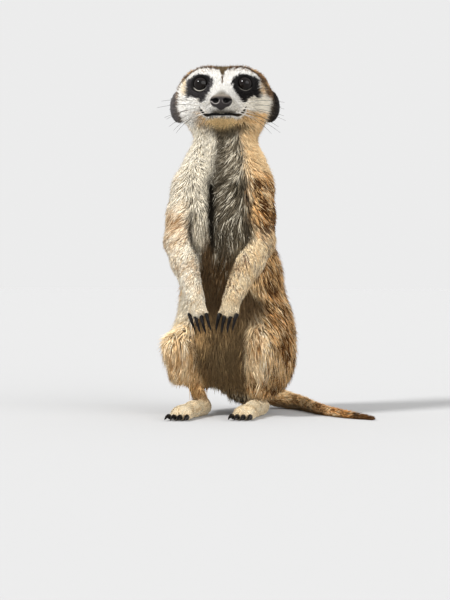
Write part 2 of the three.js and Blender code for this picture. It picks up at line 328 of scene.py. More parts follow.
def trunk_field(p):
    return join(
        5,
        ball(p, (0, -0.2, 65.5), (12.0, 10.0, 10)),
        ball(p, (0, 0.6, 54), (11.8, 11.8, 17)),
        ball(p, (0.3, 6.2, 37.5), (14.9, 13.4, 19.5)),
        ball(p, (0.5, 9.4, 25), (15.4, 14.2, 16)),
        ball(p, (0, 12.0, 16), (13.6, 14.0, 13.4)),
    )


def arm_fields(p, side):
    shoulder, elbow, wrist, knuckles, _, radii = ARMS[side].values()
    upper = chain(p, 2, [shoulder, between(shoulder, elbow, 0.5), elbow], radii[:3])
    fore = chain(p, 2, [elbow, between(elbow, wrist, 0.35), wrist], radii[2:])
    back_of_hand = ball(p, between(wrist, knuckles, 0.75), (2.7, 1.7, 2.3))
    palm = join(1, back_of_hand, cone(p, wrist, knuckles, 2.3, 1.6))
    fingers = [cone(p, root, end, 0.82, 0.66) for root, end, _ in arm_digits(side)]
    return upper, fore, join(0.3, palm, np.min(fingers, axis=0))


def leg_fields(p, side):
    haunch, knee, ankle, heel, sole_ball = [np.array(place, float) for place in LEGS[side].values()]
    thigh = join(
        4,
        ball(p, haunch, (7.8, 12.4, 13.4)),
        ball(p, haunch + (0.6 * WAY[side], -1, -6.0), (6.6, 10, 8.4)),
        cone(p, between(haunch, knee, 0.35), knee, 6.4, 4.6),
        ball(p, knee + (0, 2.0, -5.4), (3.9, 5.0, 6.4)),
    )
    shank = cone(p, between(knee, ankle, 0.15), ankle, 3.3, 2.0)
    arch = between(heel, sole_ball, 0.5)
    sole = join(
        1.5,
        cone(p, heel, arch, 2.55, 2.2),
        cone(p, arch, sole_ball, 2.2, 2.1),
        *[ball(p, sole_ball + (1.3 * end, 0.4, -0.3), (2.0, 2.8, 1.7)) for end in (-1, 1)],
    )
    toes = [cone(p, root, end, 1.05, 0.8) for root, end, _ in leg_digits(side)]
    return thigh, shank, join(0.3, sole, np.min(toes, axis=0))


ARM_PARTS, LEG_PARTS = ("upper_arm", "forearm", "hand"), ("thigh", "shank", "foot")
PARTS = ["skull", "jaw", "ears", "neck", "trunk"]
PARTS += [f"{part}_{side}" for limb in (ARM_PARTS, LEG_PARTS) for side in WAY for part in limb]
PARTS += ["tail"]
COLUMN = {part: i for i, part in enumerate(PARTS)}


def part_fields(p):
    """Distances of the points from each of PARTS, one column each."""
    q = to_head(p)
    ears = np.minimum(ear(q, -1), ear(q, 1))
    columns = [skull(q), jaw(q), ears, neck_field(p), trunk_field(p)]
    for limb in (arm_fields, leg_fields):
        columns += limb(p, "right") + limb(p, "left")
    return np.stack([*columns, chain(p, 0.6, TAIL, TAIL_WIDTHS)], 1)


# ---------- the coat's surface ----------

# For each kind of part: the coat's depth over the skin, a tuft's length and width, all in
# millimetres, and tufts to a square millimetre.
COAT = {
    "face": (0.65, 2.3, 0.42, 3.0),
    "skull": (1.9, 4.6, 0.58, 2.0),
    "jaw": (1.1, 2.8, 0.46, 2.4),
    "ears": (0.4, 2.6, 0.42, 2.4),
    "neck": (3.2, 8.5, 0.8, 1.35),
    "trunk": (4.8, 13.0, 1.0, 0.95),
    "upper_arm": (2.6, 8.5, 0.8, 1.2),
    "forearm": (1.9, 5.0, 0.6, 1.8),
    "hand": (0.5, 1.5, 0.4, 2.2),
    "thigh": (4.8, 14.0, 1.0, 1.0),
    "shank": (2.2, 6.0, 0.7, 1.3),
    "foot": (0.6, 1.8, 0.42, 2.2),
    "tail": (2.0, 5.5, 0.65, 1.5),
}
SHARE_WIDTH = 0.8  # how softly one part passes into the next


def kind(part):
    return part.replace("_right", "").replace("_left", "")


def side_of(part):
    return "right" if part.endswith("right") else "left"


COAT_TABLE = np.array([COAT[kind(part)] for part in PARTS])


def shares(d):
    """How much each part has of a point, from the distances."""
    weight = np.exp(-(d - d.min(1, keepdims=True)) / SHARE_WIDTH)
    return weight / weight.sum(1, keepdims=True)


def head_share(share):
    return share[:, COLUMN["skull"]] + share[:, COLUMN["jaw"]]


def faceness(q):
    """1 on the short-haired front of the face, 0 on crown, cheeks and the back of the head."""
    return fall(q[:, 1] + 0.25 * np.abs(q[:, 0]), -4.5, 1.5)


def coat_size(p, share):
    """Depth, length, width and density of the coat at each point."""
    size = share @ COAT_TABLE
    short = head_share(share) * faceness(to_head(p))
    return size + short[:, None] * (np.array(COAT["face"]) - size)


def coat_depth(p, d):
    return coat_size(p, shares(d))[:, 0] * MM * ramp(p[:, 2], -0.8, 1.6)


def midline(z):
    """Where the parting down the chest lies."""
    return -0.9 + 1.5 * ramp(z, 66, 75)


def parting(p):
    """1 along the part of the chest's front that has a parting."""
    _, y, z = p.T
    return ramp(z, 45, 49) * fall(z, 66, 70) * fall(y, -5, -2)


def coat_surface(p, d):
    """The coat's outer surface: the solids with their creases filled, and raised hems."""
    x, _, z = p.T

    def part(name, side=None):
        return d[:, COLUMN[f"{name}_{side}" if side else name]]

    head = join(0.7, join(1.6, part("skull"), part("jaw")), part("ears"))
    belly_hem = 2.2 + 9.0 * fall(x, -6, 3)
    body = join(4.5, carve(1.5, part("trunk"), z - belly_hem), part("neck"))
    furrow = np.maximum(np.abs(x - midline(z)) - 0.25, -(body + 0.7))
    body = carve(0.8, body, furrow + 3 * (1 - parting(p)))
    body = join(2.2, body, head)
    armpit = 0.5 + 3.0 * ramp(z, 52, 63)
    for side in WAY:
        arm = join(1.6, part("upper_arm", side), part("forearm", side))
        body = join(armpit, body, join(1.0, arm, part("hand", side)))
        thigh = part("thigh", side)
        if side == "right":
            thigh = carve(1.5, thigh, z - 8.6)
        body = join(6.0, body, thigh)
        body = join(1.6, body, join(0.9, part("shank", side), part("foot", side)))
    return join(2.6, body, part("tail"))


def threaded(function):
    """Runs a function of points on many small blocks of them at once."""
    block = 8192

    def run(p):
        blocks = [p[i : i + block] for i in range(0, len(p), block)]
        with ThreadPoolExecutor(4) as pool:
            return np.concatenate(list(pool.map(function, blocks)))

    return run


fields_at = threaded(part_fields)
coat_at = threaded(lambda p: coat_surface(p, part_fields(p)))

# ---------- the skin: lids, lips and the line of the mouth ----------

LID_THICKNESS = 0.36
GAZE_OUT = math.radians(9)
LID_SIDE, LID_UP, LID_DOWN = math.radians(64), math.radians(54), math.radians(62)
MOUTH_HALF_WIDTH = 6.0
MOUTH_DROP = 5.4
MOUTH_END = -4.2  # how far back the mouth reaches
VIEW_SLOPE = 0.268  # of the line of sight to the face, from in front and a little below


def eye_frame(way):
    """Columns: outwards, back into the head, and up."""
    return turn_matrix(0, 0, way * GAZE_OUT)


def eye_middle(way):
    return np.array((way * EYE[0], EYE[1], EYE[2]))


def eye_angles(q, way):
    """Distance of a point from the eye's middle, and from the rim of the lids, outside positive."""
    e = (q - eye_middle(way)) @ eye_frame(way)
    out, up = e[:, 0] * way, e[:, 2] + 0.12 * e[:, 0] * way
    off_gaze = np.arctan2(np.hypot(out, up), -e[:, 1])
    round_gaze = np.arctan2(up, out)
    lids = np.where(up > 0, LID_UP, LID_DOWN)
    opening = 1 / np.hypot(np.cos(round_gaze) / LID_SIDE, np.sin(round_gaze) / lids)
    return np.linalg.norm(e, axis=1), (off_gaze - opening) * EYE_RADIUS * 0.9


def above_mouth(q):
    """Height over the line of the mouth, which dips to either side and has upturned corners."""
    out = np.minimum(np.abs(q[:, 0]) / MOUTH_HALF_WIDTH, 1.1)
    level = q[:, 2] - VIEW_SLOPE * q[:, 1] + MOUTH_DROP
    return level + 0.45 * np.exp(-(((out - 0.72) / 0.2) ** 2)) - out**8


def mouth_distance(q):
    """Distance from the line of the mouth, across it or past its corners."""
    beyond = np.maximum(np.abs(q[:, 0]) - MOUTH_HALF_WIDTH, 0)
    return np.hypot(0.96 * above_mouth(q), beyond) + 9 * (q[:, 1] > MOUTH_END)


def skin_surface(p):
    """The coat's surface less its depth, with lids round the eyes, a mouth and a cleft over it."""
    d = part_fields(p)
    field = coat_surface(p, d) + coat_depth(p, d)
    q = to_head(p)
    head = np.flatnonzero((q[:, 1] < 2) & (np.abs(q[:, 0]) < 13) & (np.abs(q[:, 2]) < 13))
    if len(head):
        q = q[head]
        face = field[head]
        for way in (-1, 1):
            far, rim = eye_angles(q, way)
            over_lid = far - EYE_RADIUS - LID_THICKNESS
            face = join(0.9, face, over_lid)
            rim = rim + 0.9 * np.maximum(over_lid - 0.3, 0)  # the opening closes with distance
            face = carve(0.16, face, np.maximum(rim, EYE_RADIUS - 0.25 - far))
        lips = np.maximum(mouth_distance(q) - 0.13, -(face + 0.5))
        face = carve(0.12, face, lips)
        cleft = np.maximum(np.abs(q[:, 0]) - 0.1, -(face + 0.3))
        ends = np.maximum(np.abs(above_mouth(q) - 0.8) - 0.9, q[:, 1] + 10)
        field[head] = carve(0.12, face, np.maximum(cleft, ends))
    return np.maximum(field, 0.02 - p[:, 2])


skin_at = threaded(skin_surface)

# ---------- meshes from fields ----------


def grid_of(*ranges):
    return np.stack(np.meshgrid(*ranges, indexing="ij"), -1).reshape(-1, len(ranges))


def sampled(field, low, high, step):
    """The field on a grid, as signs only in blocks that lie far from its surface."""
    wide = 4  # corners to the side of a block
    count = np.ceil((np.array(high) - low) / step).astype(int) + 1
    blocks = -(-count // wide)
    block = grid_of(*map(np.arange, blocks))
    value = field(low + (block + 0.5) * wide * step)
    grid = np.where(value < 0, -1.0, 1.0).reshape(blocks)
    for axis in range(3):
        grid = grid.repeat(wide, axis)
    near = block[np.abs(value) < 1.7 * wide * step]
    places = (near[:, None] * wide + grid_of(*[np.arange(wide)] * 3)).reshape(-1, 3)
    grid[tuple(places.T)] = field(low + places * step)
    return grid


def surface(field, low, high, step):
    """The zero surface of a field in a box, as triangles, with a corner in each grid cell it crosses."""
    low = np.array(low, float)
    grid = sampled(field, low, high, step)
    inside = grid < 0
    ends = np.array(grid.shape) - 1
    corners = grid_of((0, 1), (0, 1), (0, 1))
    spans = [tuple(slice(a, a + end) for a, end in zip(corner, ends)) for corner in corners]
    total = sum(inside[span].astype(np.int8) for span in spans)
    cells = np.argwhere((total > 0) & (total < 8))
    index = np.full(ends, -1)
    index[tuple(cells.T)] = np.arange(len(cells))
    middle = np.zeros((len(cells), 3))
    crossings = np.zeros(len(cells))
    faces = []
    along = np.eye(3, dtype=int)
    for axis in range(3):
        u, v = (axis + 1) % 3, (axis + 2) % 3
        for i, j in ((0, 0), (0, 1), (1, 0), (1, 1)):
            start = cells + i * along[u] + j * along[v]
            a = grid[tuple(start.T)]
            b = grid[tuple((start + along[axis]).T)]
            cross = (a < 0) != (b < 0)
            t = np.where(cross, a / np.where(cross, a - b, 1), 0)
            middle += np.where(cross[:, None], start + t[:, None] * along[axis], 0)
            crossings += cross
        first = np.take(inside, range(ends[axis]), axis)
        second = np.take(inside, range(1, ends[axis] + 1), axis)
        edge = np.argwhere(first != second)
        clear = [(edge[:, w] > 0) & (edge[:, w] < ends[w]) for w in (u, v)]
        edge = edge[clear[0] & clear[1]]
        ring = [edge - i * along[u] - j * along[v] for i, j in ((0, 0), (1, 0), (1, 1), (0, 1))]
        quad = np.stack([index[tuple(cell.T)] for cell in ring], 1)
        outward = inside[tuple(edge.T)]
        quad[~outward] = quad[~outward, ::-1]
        faces.append(quad)
    points = low + middle / crossings[:, None] * step
    return points, in_triangles(points, np.vstack(faces))


def in_triangles(points, quads):
    """Cuts four-sided faces along their shorter diagonals."""
    a, b, c, d = [points[quads[:, i]] for i in range(4)]
    flip = np.linalg.norm(a - c, axis=1) > np.linalg.norm(b - d, axis=1)
    quads = np.where(flip[:, None], quads[:, [1, 2, 3, 0]], quads)
    return np.vstack([quads[:, [0, 1, 2]], quads[:, [0, 2, 3]]])


def slope(field, p, reach=0.04):
    """The field's value and gradient."""
    probes = [p] + [p + way * reach * axis for axis in np.eye(3) for way in (-1, 1)]
    values = field(np.concatenate(probes)).reshape(7, -1)
    return values[0], (values[2::2] - values[1::2]).T / (2 * reach)


def settle(field, p, reach=0.3):
    """Moves points onto the zero surface."""
    value, gradient = slope(field, p)
    steep = np.maximum(np.einsum("ij,ij->i", gradient, gradient), 0.1)
    return p - np.clip(value / steep, -reach, reach)[:, None] * gradient


def relax(points, triangles, strength=0.5):
    """Moves each point towards the middle of its neighbours."""
    pairs = np.vstack([triangles[:, [0, 1]], triangles[:, [1, 2]], triangles[:, [2, 0]]])
    count = np.bincount(pairs[:, 0], minlength=len(points))
    total = [np.bincount(pairs[:, 0], points[pairs[:, 1], i], len(points)) for i in range(3)]
    mean = np.stack(total, 1) / np.maximum(count, 1)[:, None]
    return points + strength * (mean - points)


# How a triangle abc is cut when one, two or all three of its sides are: m, n and o are the middles
# of ab, bc and ca, and the cut side comes first, or the uncut one last.
CUTS = {1: ["a m c", "m b c"], 2: ["m b n", "a m n", "a n c"], 3: ["a m o", "m b n", "o n c", "m n o"]}


def refine(points, triangles, wanted):
    """Splits the wanted triangles in four, and their neighbours to match."""
    ends = np.sort(triangles[:, [[0, 1], [1, 2], [2, 0]]], -1)
    key = ends[..., 0] * len(points) + ends[..., 1]
    cut = np.unique(key[wanted])
    split = np.isin(key, cut)
    middle = np.searchsorted(cut, key) + len(points)
    added = (points[cut // len(points)] + points[cut % len(points)]) / 2
    number = split.sum(1)
    made = [triangles[number == 0]]
    for case, patterns in CUTS.items():
        rows = np.flatnonzero(number == case)
        lead = (~split if case == 2 else split)[rows].argmax(1) + (case == 2)
        spin = (lead[:, None] + np.arange(3)) % 3
        corner = np.take_along_axis(triangles[rows], spin, 1)
        half = np.take_along_axis(middle[rows], spin, 1)
        names = dict(zip("abcmno", [*corner.T, *half.T]))
        made += [np.stack([names[k] for k in pattern.split()], 1) for pattern in patterns]
    return np.vstack([points, added]), np.vstack(made)


def placed(name, data):
    """An object of its own for a mesh, light or camera."""
    made = bpy.data.objects.new(name, data)
    bpy.context.scene.collection.objects.link(made)
    return made


def mesh_object(name, points, faces, colours=None, uv=None):
    """A Blender mesh from arrays: faces all have the same number of corners."""
    mesh = bpy.data.meshes.new(name)
    sides = faces.shape[1]
    mesh.vertices.add(len(points))
    mesh.vertices.foreach_set("co", to_world(points).astype(np.float32).ravel())
    mesh.loops.add(faces.size)
    mesh.loops.foreach_set("vertex_index", faces.astype(np.int32).ravel())
    mesh.polygons.add(len(faces))
    mesh.polygons.foreach_set("loop_start", np.arange(0, faces.size, sides, dtype=np.int32))
    mesh.polygons.foreach_set("use_smooth", np.full(len(faces), True))
    if uv is not None:
        layer = mesh.uv_layers.new(name="OFBake")
        layer.data.foreach_set("uv", uv.astype(np.float32).ravel())
    if colours is not None:
        layer = mesh.color_attributes.new("coat", "FLOAT_COLOR", "POINT")
        opaque = np.c_[colours, np.ones(len(colours))]
        layer.data.foreach_set("color", opaque.astype(np.float32).ravel())
    mesh.update(calc_edges=True)
    return placed(name, mesh)


# ---------- markings ----------
# `rough` is noise round 0 that makes edges ragged, and `strand` differs from hair to hair, from 0 to 1.


def tone(red, green, blue):
    """A colour as it looks, 0 to 255, in linear light."""
    c = np.array([red, green, blue]) / 255
    return np.where(c < 0.04045, c / 12.92, ((c + 0.055) / 1.055) ** 2.4)


WHITE = tone(247, 244, 238)
PALE_CREAM = tone(240, 233, 218)
CREAM = tone(233, 222, 198)
PALE_TAN = tone(226, 203, 163)
TAN = tone(212, 174, 122)
ORANGE_TAN = tone(188, 132, 74)
BROWN = tone(140, 102, 62)
DARK_BROWN = tone(76, 45, 14)
GREY_CREAM = tone(196, 187, 168)
GREY_BROWN = tone(124, 113, 94)
OLIVE_BROWN = tone(104, 86, 60)
DARK_GREY = tone(72, 64, 50)
BELLY = tone(84, 65, 43)
BLACK = tone(27, 25, 24)
CHARCOAL = tone(60, 57, 58)
PALE_CHARCOAL = tone(92, 88, 88)
# the chin's tan painted lighter, as painted light against the shade it lies in as it faces down
CHIN_PAINTED_LIT = PALE_TAN * np.array([1.3, 1.19, 0.96])

LATTICE_SIDE = 32
LATTICE = random.random((LATTICE_SIDE,) * 3)


def noise(p, size):
    """Smooth noise from 0 to 1, with lumps of the given size along each axis."""
    q = p / np.array(size, float) + 100
    cell = np.floor(q).astype(int)
    f = q - cell
    f = f * f * (3 - 2 * f)
    total = np.zeros(len(p))
    for corner in grid_of((0, 1), (0, 1), (0, 1)):
        x, y, z = ((cell + corner) % LATTICE_SIDE).T
        weight = np.where(corner, f, 1 - f)
        total += LATTICE[x, y, z] * weight[:, 0] * weight[:, 1] * weight[:, 2]
    return total


def over(base, colour, amount):
    """Lays a colour over another, by amounts from 0 to 1."""
    return base + (colour - base) * np.reshape(np.clip(amount, 0, 1), (-1, 1))


def layered(colour, *layers):
    """Lays colours over a first one in turn, each by its amount."""
    for layer, amount in layers:
        colour = over(colour, layer, amount)
    return colour


# The dark patch round the left eye: its corners, from the front of the head.
PATCH = [(2.5, 1.2), (3.0, 2.8), (4.6, 3.9), (7.2, 3.9), (10.1, 2.9), (10.4, -2.5), (8.9, -1.9)]
PATCH = np.array(PATCH + [(7.2, -2.7), (6.1, -4.3), (4.6, -2.7), (3.2, -0.6)])


def outline_distance(x, z, corners):
    """Distance from a closed outline, negative inside."""
    point = np.stack([x, z], 1)
    nearest = np.full(len(x), 1e9)
    inside = np.zeros(len(x), bool)
    for a, b in zip(corners, np.roll(corners, -1, 0)):
        edge = b - a
        t = np.clip((point - a) @ edge / (edge @ edge), 0, 1)
        nearest = np.minimum(nearest, np.linalg.norm(point - a - t[:, None] * edge, axis=1))
        crosses = (a[1] > z) != (b[1] > z)
        if b[1] != a[1]:
            inside ^= crosses & (x < a[0] + (z - a[1]) * edge[0] / edge[1])
    return np.where(inside, -nearest, nearest)


def crown_colour(q, rough, strand, left):
    """The grizzled brown crown, and how much of it shows behind its dark edge."""
    _, y, z = q.T
    top = ramp(z, 0.5, 7.5)
    behind = y + 5.5 * top + (1 - top) * (0.2 + 2.6 * left)
    dark = over(OLIVE_BROWN * 0.6, DARK_BROWN * 0.6, 1.2 * strand)
    grizzled = layered(BROWN * 1.15, (DARK_BROWN, 0.9 * (strand < 0.42)), (TAN, 0.75 * (strand > 0.7)))
    cap = ramp(behind + 3.0 * rough + 1.2 * (strand - 0.5), -0.4, 0.5)
    cap *= ramp(z - 1.6 * left, -3.2, -1.8)
    shown = np.maximum(cap, ramp(y + 2 * rough, 6.5, 9))
    return over(dark, grizzled, ramp(behind + 2 * rough, 1.2, 4.5)), shown


def muzzle_layers(q, rough, strand):
    """The bridge's grey, painted shade on the left of the upper lip and under the nose, the tan chin painted
    lighter against its shade, freckles and the whiskers' dark roots.
    """
    x, y, z = q.T
    aside, above = np.abs(x), above_mouth(q)
    upper = above > 0
    bridge = ramp(-y - 0.7 * aside, 9.6, 14.2) * ramp(z, -7.4, -5.4)
    # painted shade on the left side of the upper lip, away from the key light
    lip_shade = fall(y, -11, -8) * fall(z, -6, -3.6) * ramp(x, -6, 2)
    # painted shade under the nose, reaching further on the left
    shade_under_nose = fall(above, 0.5, 1.7) * ramp(4.6 + 0.3 * x - aside, 0, 2.4) * fall(y, -11.5, -9)
    chin = ramp(1.5 * rough - above - 0.07 * aside, 0.6, 1.4) * ramp(x + 3 * rough, -9.5, -4.5)
    freckles = np.exp(-(((above + 0.8) / 0.5) ** 2)) * fall(y, -7, -4.5) * (strand > 0.62)
    roots = ramp(strand, 0.8, 0.9) * fall(y, -10, -7.5) * fall(z, -6.2, -5)
    return [
        (GREY_BROWN, 0.85 * bridge),
        (GREY_CREAM, 0.45 * lip_shade * upper),
        (DARK_GREY * 1.1, 0.9 * shade_under_nose * upper),
        (over(CHIN_PAINTED_LIT, TAN, ramp(aside, 2.5, 6.5)), chin * fall(y, -1, 5)),
        (DARK_GREY, 0.75 * freckles),
        (GREY_BROWN, 0.6 * roots * upper),
    ]


def line_layers(q):
    """The line of the mouth, the cleft over it, and the rims of the lids, with a painted highlight along
    their wet lower edge, stronger on the right eye.
    """
    aside, above = np.abs(q[:, 0]), above_mouth(q)
    mouth = fall(mouth_distance(q) - 0.12 * ramp(aside, 4.6, 5.6), 0.36, 0.56)
    cleft = fall(aside, 0.14, 0.34) * ramp(above, -0.3, 0) * fall(above, 1.5, 1.8)
    layers = [(BLACK * 0.6, np.maximum(mouth, cleft))]
    for way, glint_strength in ((-1, 0.6), (1, 0.15)):
        far, rim = eye_angles(q, way)
        # a painted highlight on the wet lower edge of the lid, brighter on the right eye, which faces the
        # key light
        painted_glint = fall(np.abs(rim), 0.04, 0.12) * fall(np.abs(far - EYE_RADIUS - 0.12), 0.06, 0.2)
        painted_glint *= fall(q[:, 2], EYE[2] - 1.6, EYE[2] - 0.8)
        lids = fall(rim, 0.25, 0.5) * (far < EYE_RADIUS + 0.9)
        layers += [(BLACK * 0.6, lids), (PALE_CREAM, painted_glint * glint_strength)]
    return layers


def head_colour(q, rough, strand, lines):
    """The coat has no lines of mouth and lids, which its hairs would smear."""
    x, y, z = q.T
    aside = np.abs(x)
    left = ramp(x, -0.5, 2.5)
    beside = ramp(aside, 10.2, 10.6) * fall(aside, 11.1, 11.9) * ramp(z, -1.6, -0.2) * fall(z, 3.2, 4.4)
    buff = layered(TAN, (PALE_TAN, 1.2 * strand), (BROWN, 0.7 * (strand < 0.2)))
    ticks = ramp(z + 3.2 * (strand - 0.5) + 2 * rough, 5.2, 6.6) * (strand > 0.45) * (aside > 1)
    wedge = 0.12 + 0.2 * ramp(z, 1.2, 4.4) + 1.2 * np.clip((z - 3.4) / 3.4, 0, 1.7) ** 1.4
    wedge = ramp(wedge + 0.8 * rough + 0.35 * (strand - 0.5) - np.abs(x + 0.1), -0.16, 0.12)
    edge = outline_distance(aside, z, PATCH) + 1.2 * rough + 0.35 * (strand - 0.5)
    pale = ramp(3.6 - aside + 0.5 * z, -0.4, 1.0) * (1 - left)
    patch = layered(CHARCOAL, (PALE_CHARCOAL, 0.8 * pale), (BLACK, left))
    return layered(
        WHITE,
        # cream over the left cheek, painted shade on the side away from the key light
        (CREAM, 0.6 * ramp(x, 3, 8) * fall(z, -3, 2)),
        (GREY_CREAM, 0.55 * (strand > 0.8) * ramp(aside, 2, 5)),
        # tan beside the eye patches, darker on the left as painted shade, and buff behind the cheeks
        (over(PALE_TAN, TAN * 0.85, left), 0.9 * beside),
        (buff, ramp(y + 3 * rough - 0.8 * left, 2.0, 5.5)),
        # brown ticks over the forehead, the crown behind them, and a wedge that points down from it
        (BROWN, 0.55 * ticks),
        crown_colour(q, rough, strand, left),
        (OLIVE_BROWN * (0.55 + 0.6 * strand)[:, None], wedge * ramp(z, 0.6, 1.6) * (y < 6)),
        *muzzle_layers(q, rough, strand),
        # eye patches: charcoal on the right, paler beside the nose, and black on the left; the right one's
        # paleness is painted light on the side that faces the key light
        (patch * (0.8 + 0.4 * strand)[:, None], fall(edge, -0.15, 0.2) * (y < 2.5)),
        *(line_layers(q) if lines else []),
    )


def round_body(p):
    """Angle round the upright axis of the body, 0 at the front and positive to the animal's left."""
    axis = np.interp(p[:, 2], [16, 37, 54, 90], [11, 6, 0.5, -0.5])
    return np.degrees(np.arctan2(p[:, 0], axis - p[:, 1]))


def barred_coat(p, rough, strand):
    """The grizzled tan coat of back and flanks, its broken dark bars made of single dark hairs."""
    apart = 5.6  # from bar to bar
    height = p[:, 2] + 2.6 * noise(p, (6, 6, 6)) + 0.2 * np.abs(p[:, 0])
    wave = np.sin(2 * math.pi * height / apart)
    streak = noise(p, (1.0, 1.0, 2.6))
    behind = ramp(np.abs(round_body(p)), 90, 125)
    dark = (0.24 + 0.26 * behind) * wave + streak - 0.5 + 0.4 * rough + 1.7 * (0.5 - strand)
    return layered(
        TAN,
        (ORANGE_TAN, 0.75 * ramp(streak, 0.38, 0.6)),
        (PALE_TAN, 0.8 * (strand > 0.78)),
        (DARK_BROWN * 0.8, ramp(dark, -0.08, 0.12)),
    )


def neck_colour(p, rough, strand):
    x, y, z = p.T
    true_angle = round_body(p)
    angle = true_angle + 16 * rough
    side = ramp(angle, 40, 54)
    low = fall(z, 70, 78) * ramp(angle, -42, -20)
    grey = layered(
        GREY_BROWN,
        (GREY_CREAM, 0.75 * (strand > 0.66) + 0.15),
        (DARK_GREY, 0.8 * (strand < 0.3) + 0.9 * fall(np.abs(angle - 7), 5, 13)),
    )
    shade = ramp(z - 78.4 - 0.45 * np.abs(x - 1.5) - 1.4 * rough, -1.4, 0.6)
    shade *= fall(np.abs(x - 2.2) - 4 * rough, 6.4, 8.8) * fall(y, -3, 1)
    under = over(OLIVE_BROWN, DARK_GREY, fall(np.abs(x - 1.8), 2.5, 5.5))
    jaw_tan = ramp(z + 3 * rough, 81.6, 82.8) * ramp(angle, -48, -24) * (true_angle < 90)
    return layered(
        PALE_CREAM,
        (CREAM, 0.8 * strand),
        (GREY_CREAM, 0.9 * low * (0.4 + 0.6 * (strand > 0.5))),
        # the grey-brown front, to the left of the midline, partly its grey fur and partly painted shade on
        # the side away from the key light, and tan beside it
        (grey, ramp(angle, -3, 5) * (1 - side)),
        (TAN, np.maximum(side, fall(angle, -92, -72))),
        (PALE_TAN, side * (0.3 + 0.6 * strand)),
        # painted shade under the chin, in a wedge that points down the throat, and the tan jaw over it,
        # painted lighter against the shade under the jaw
        (under, (0.6 + 0.35 * ramp(x, -3, 0.5)) * shade),
        (over(TAN, PALE_TAN, strand) * 1.15, jaw_tan),
        (barred_coat(p, rough, strand), ramp(np.abs(true_angle - 12) + 25 * rough, 92, 112)),
    )


def lap(p):
    """1 where lower belly and inner thighs meet and catch the light, most on the right."""
    x, _, z = p.T
    return ramp(z, 19, 22.5) * fall(z, 25.5, 30) * (0.35 + 0.65 * fall(x, -4, 1)) * fall(x, 4, 8)


def belly_colour(p, rough, strand):
    """The dark belly, and how much of it shows."""
    x, y, z = p.T
    reach = np.interp(z, [10, 24, 34, 46, 54], [9.5, 9.2, 7.6, 5.6, 1.5])
    reach += 3.0 * ramp(x, 2, 6) * fall(z, 33, 38) * ramp(z, 14, 20)
    top = np.where(x < -0.4, 53.0, 45.0) + 6 * rough + 4 * (strand - 0.5)
    shown = ramp(reach + 2.5 * rough - np.abs(x - 0.6), -1.2, 0.8) * fall(y, 1, 6) * ramp(top - z, -2, 2)
    colour = layered(
        BELLY,
        (OLIVE_BROWN * 1.1, 0.9 * fall(z, 18, 36) + 0.3 * (strand > 0.62)),
        (GREY_CREAM * 0.8, 0.8 * (strand > 0.86) * ramp(x, -3, 3) * ramp(z, 34, 44)),
        (TAN * 0.75, 0.85 * lap(p) * (strand > 0.4)),
    )
    return colour, shown


def trunk_colour(p, rough, strand):
    z = p[:, 2]
    angle = round_body(p) + 20 * rough
    grey = over(GREY_BROWN * 0.68, DARK_GREY * 0.75, 0.9 * (strand < 0.45))
    grey = over(grey, GREY_CREAM, 0.9 * (strand > 0.74))
    under_arm = ramp(angle, 26, 34) * ramp(z, 31, 35) * fall(z, 45, 50)
    far_right = fall(angle, -104, -82)
    pale = over(PALE_TAN, TAN, 0.9 * (strand < 0.35))
    pale = layered(pale, (CREAM, 0.8 * (strand > 0.6)), (BROWN, 0.7 * (strand < 0.1)))
    return layered(
        CREAM,
        (PALE_CREAM, 1.4 * strand - 0.2),
        (GREY_CREAM, ramp(angle, -66, -40) * 0.5 + 0.5 * (strand - 0.5)),
        (GREY_BROWN, 0.75 * ramp(angle, -60, -30) * (strand < 0.28)),
        # the left half of the chest in darker grey: partly its grey fur, partly painted shade on the side
        # away from the key light
        (grey, ramp(angle, -10, 2)),
        # the flanks: tan under the left forearm, barred, and cream behind the right arm, paler than the
        # barred left flank as painted light on the side that faces the key light
        (over(PALE_TAN, TAN, 0.8 * (strand < 0.4)), under_arm),
        (barred_coat(p, rough, strand), np.maximum(ramp(angle, 44, 58), far_right)),
        (pale, fall(angle, -72, -58) * (1 - far_right) * fall(z, 44, 52)),
        belly_colour(p, rough, strand),
    )


def arm_colour(p, rough, strand, side):
    """Cream with fine brown ticks, painted darker on the left arm as shade on the side away from the key
    light.
    """
    pale, tan, ticks = {
        "right": (PALE_CREAM, 0.3, (BROWN, 0.55 * (strand < 0.2))),
        "left": (PALE_TAN, 0.5, (DARK_BROWN * 1.5, 0.8 * (strand < 0.28))),
    }[side]
    tan = tan * ramp(noise(p, (3, 3, 3)) + rough, 0.45, 0.75)
    return layered(CREAM, (pale, 1.5 * strand - 0.2), (TAN, tan), ticks)


def upper_arm_colour(p, rough, strand, side):
    z, outward = p[:, 2], p[:, 0] * WAY[side]
    # grey for the inner side of the arm, painted shade between arm and chest, darker on the left arm
    grey = over(GREY_CREAM, GREY_BROWN, 0.8 * (strand < 0.4))
    if side == "left":
        grey = layered(grey, (DARK_GREY, 0.85 * (strand < 0.22)), (GREY_BROWN, 0.5))
        outer = ramp(outward + 0.25 * (z - 48) + 3 * rough, 10.5, 12.5) * ramp(z, 43, 47)
        layers = [(barred_coat(p, rough, strand), np.maximum(ramp(z + 4 * rough, 50, 56), outer))]
    else:
        low = fall(z, 54, 61)
        layers = [(TAN, 0.55 * low), (BROWN, (0.2 + 0.55 * low) * (strand < 0.34))]
    layers.append((grey, 0.9 * fall(outward, 6.5, 10.5)))
    return layered(arm_colour(p, rough, strand, side), *layers)


def forearm_colour(p, rough, strand, side):
    z, outward = p[:, 2], p[:, 0] * WAY[side]
    inner = {"right": 4.2, "left": 5.6}[side]
    shade = fall(outward, inner - 0.9, inner + 0.5) * ramp(z, 38, 42)
    return over(arm_colour(p, rough, strand, side), OLIVE_BROWN, 0.75 * shade)


def hand_colour(p, rough, strand, side):
    return over(foot_colour(p, rough, strand, side), forearm_colour(p, rough, strand, side), 0.5)


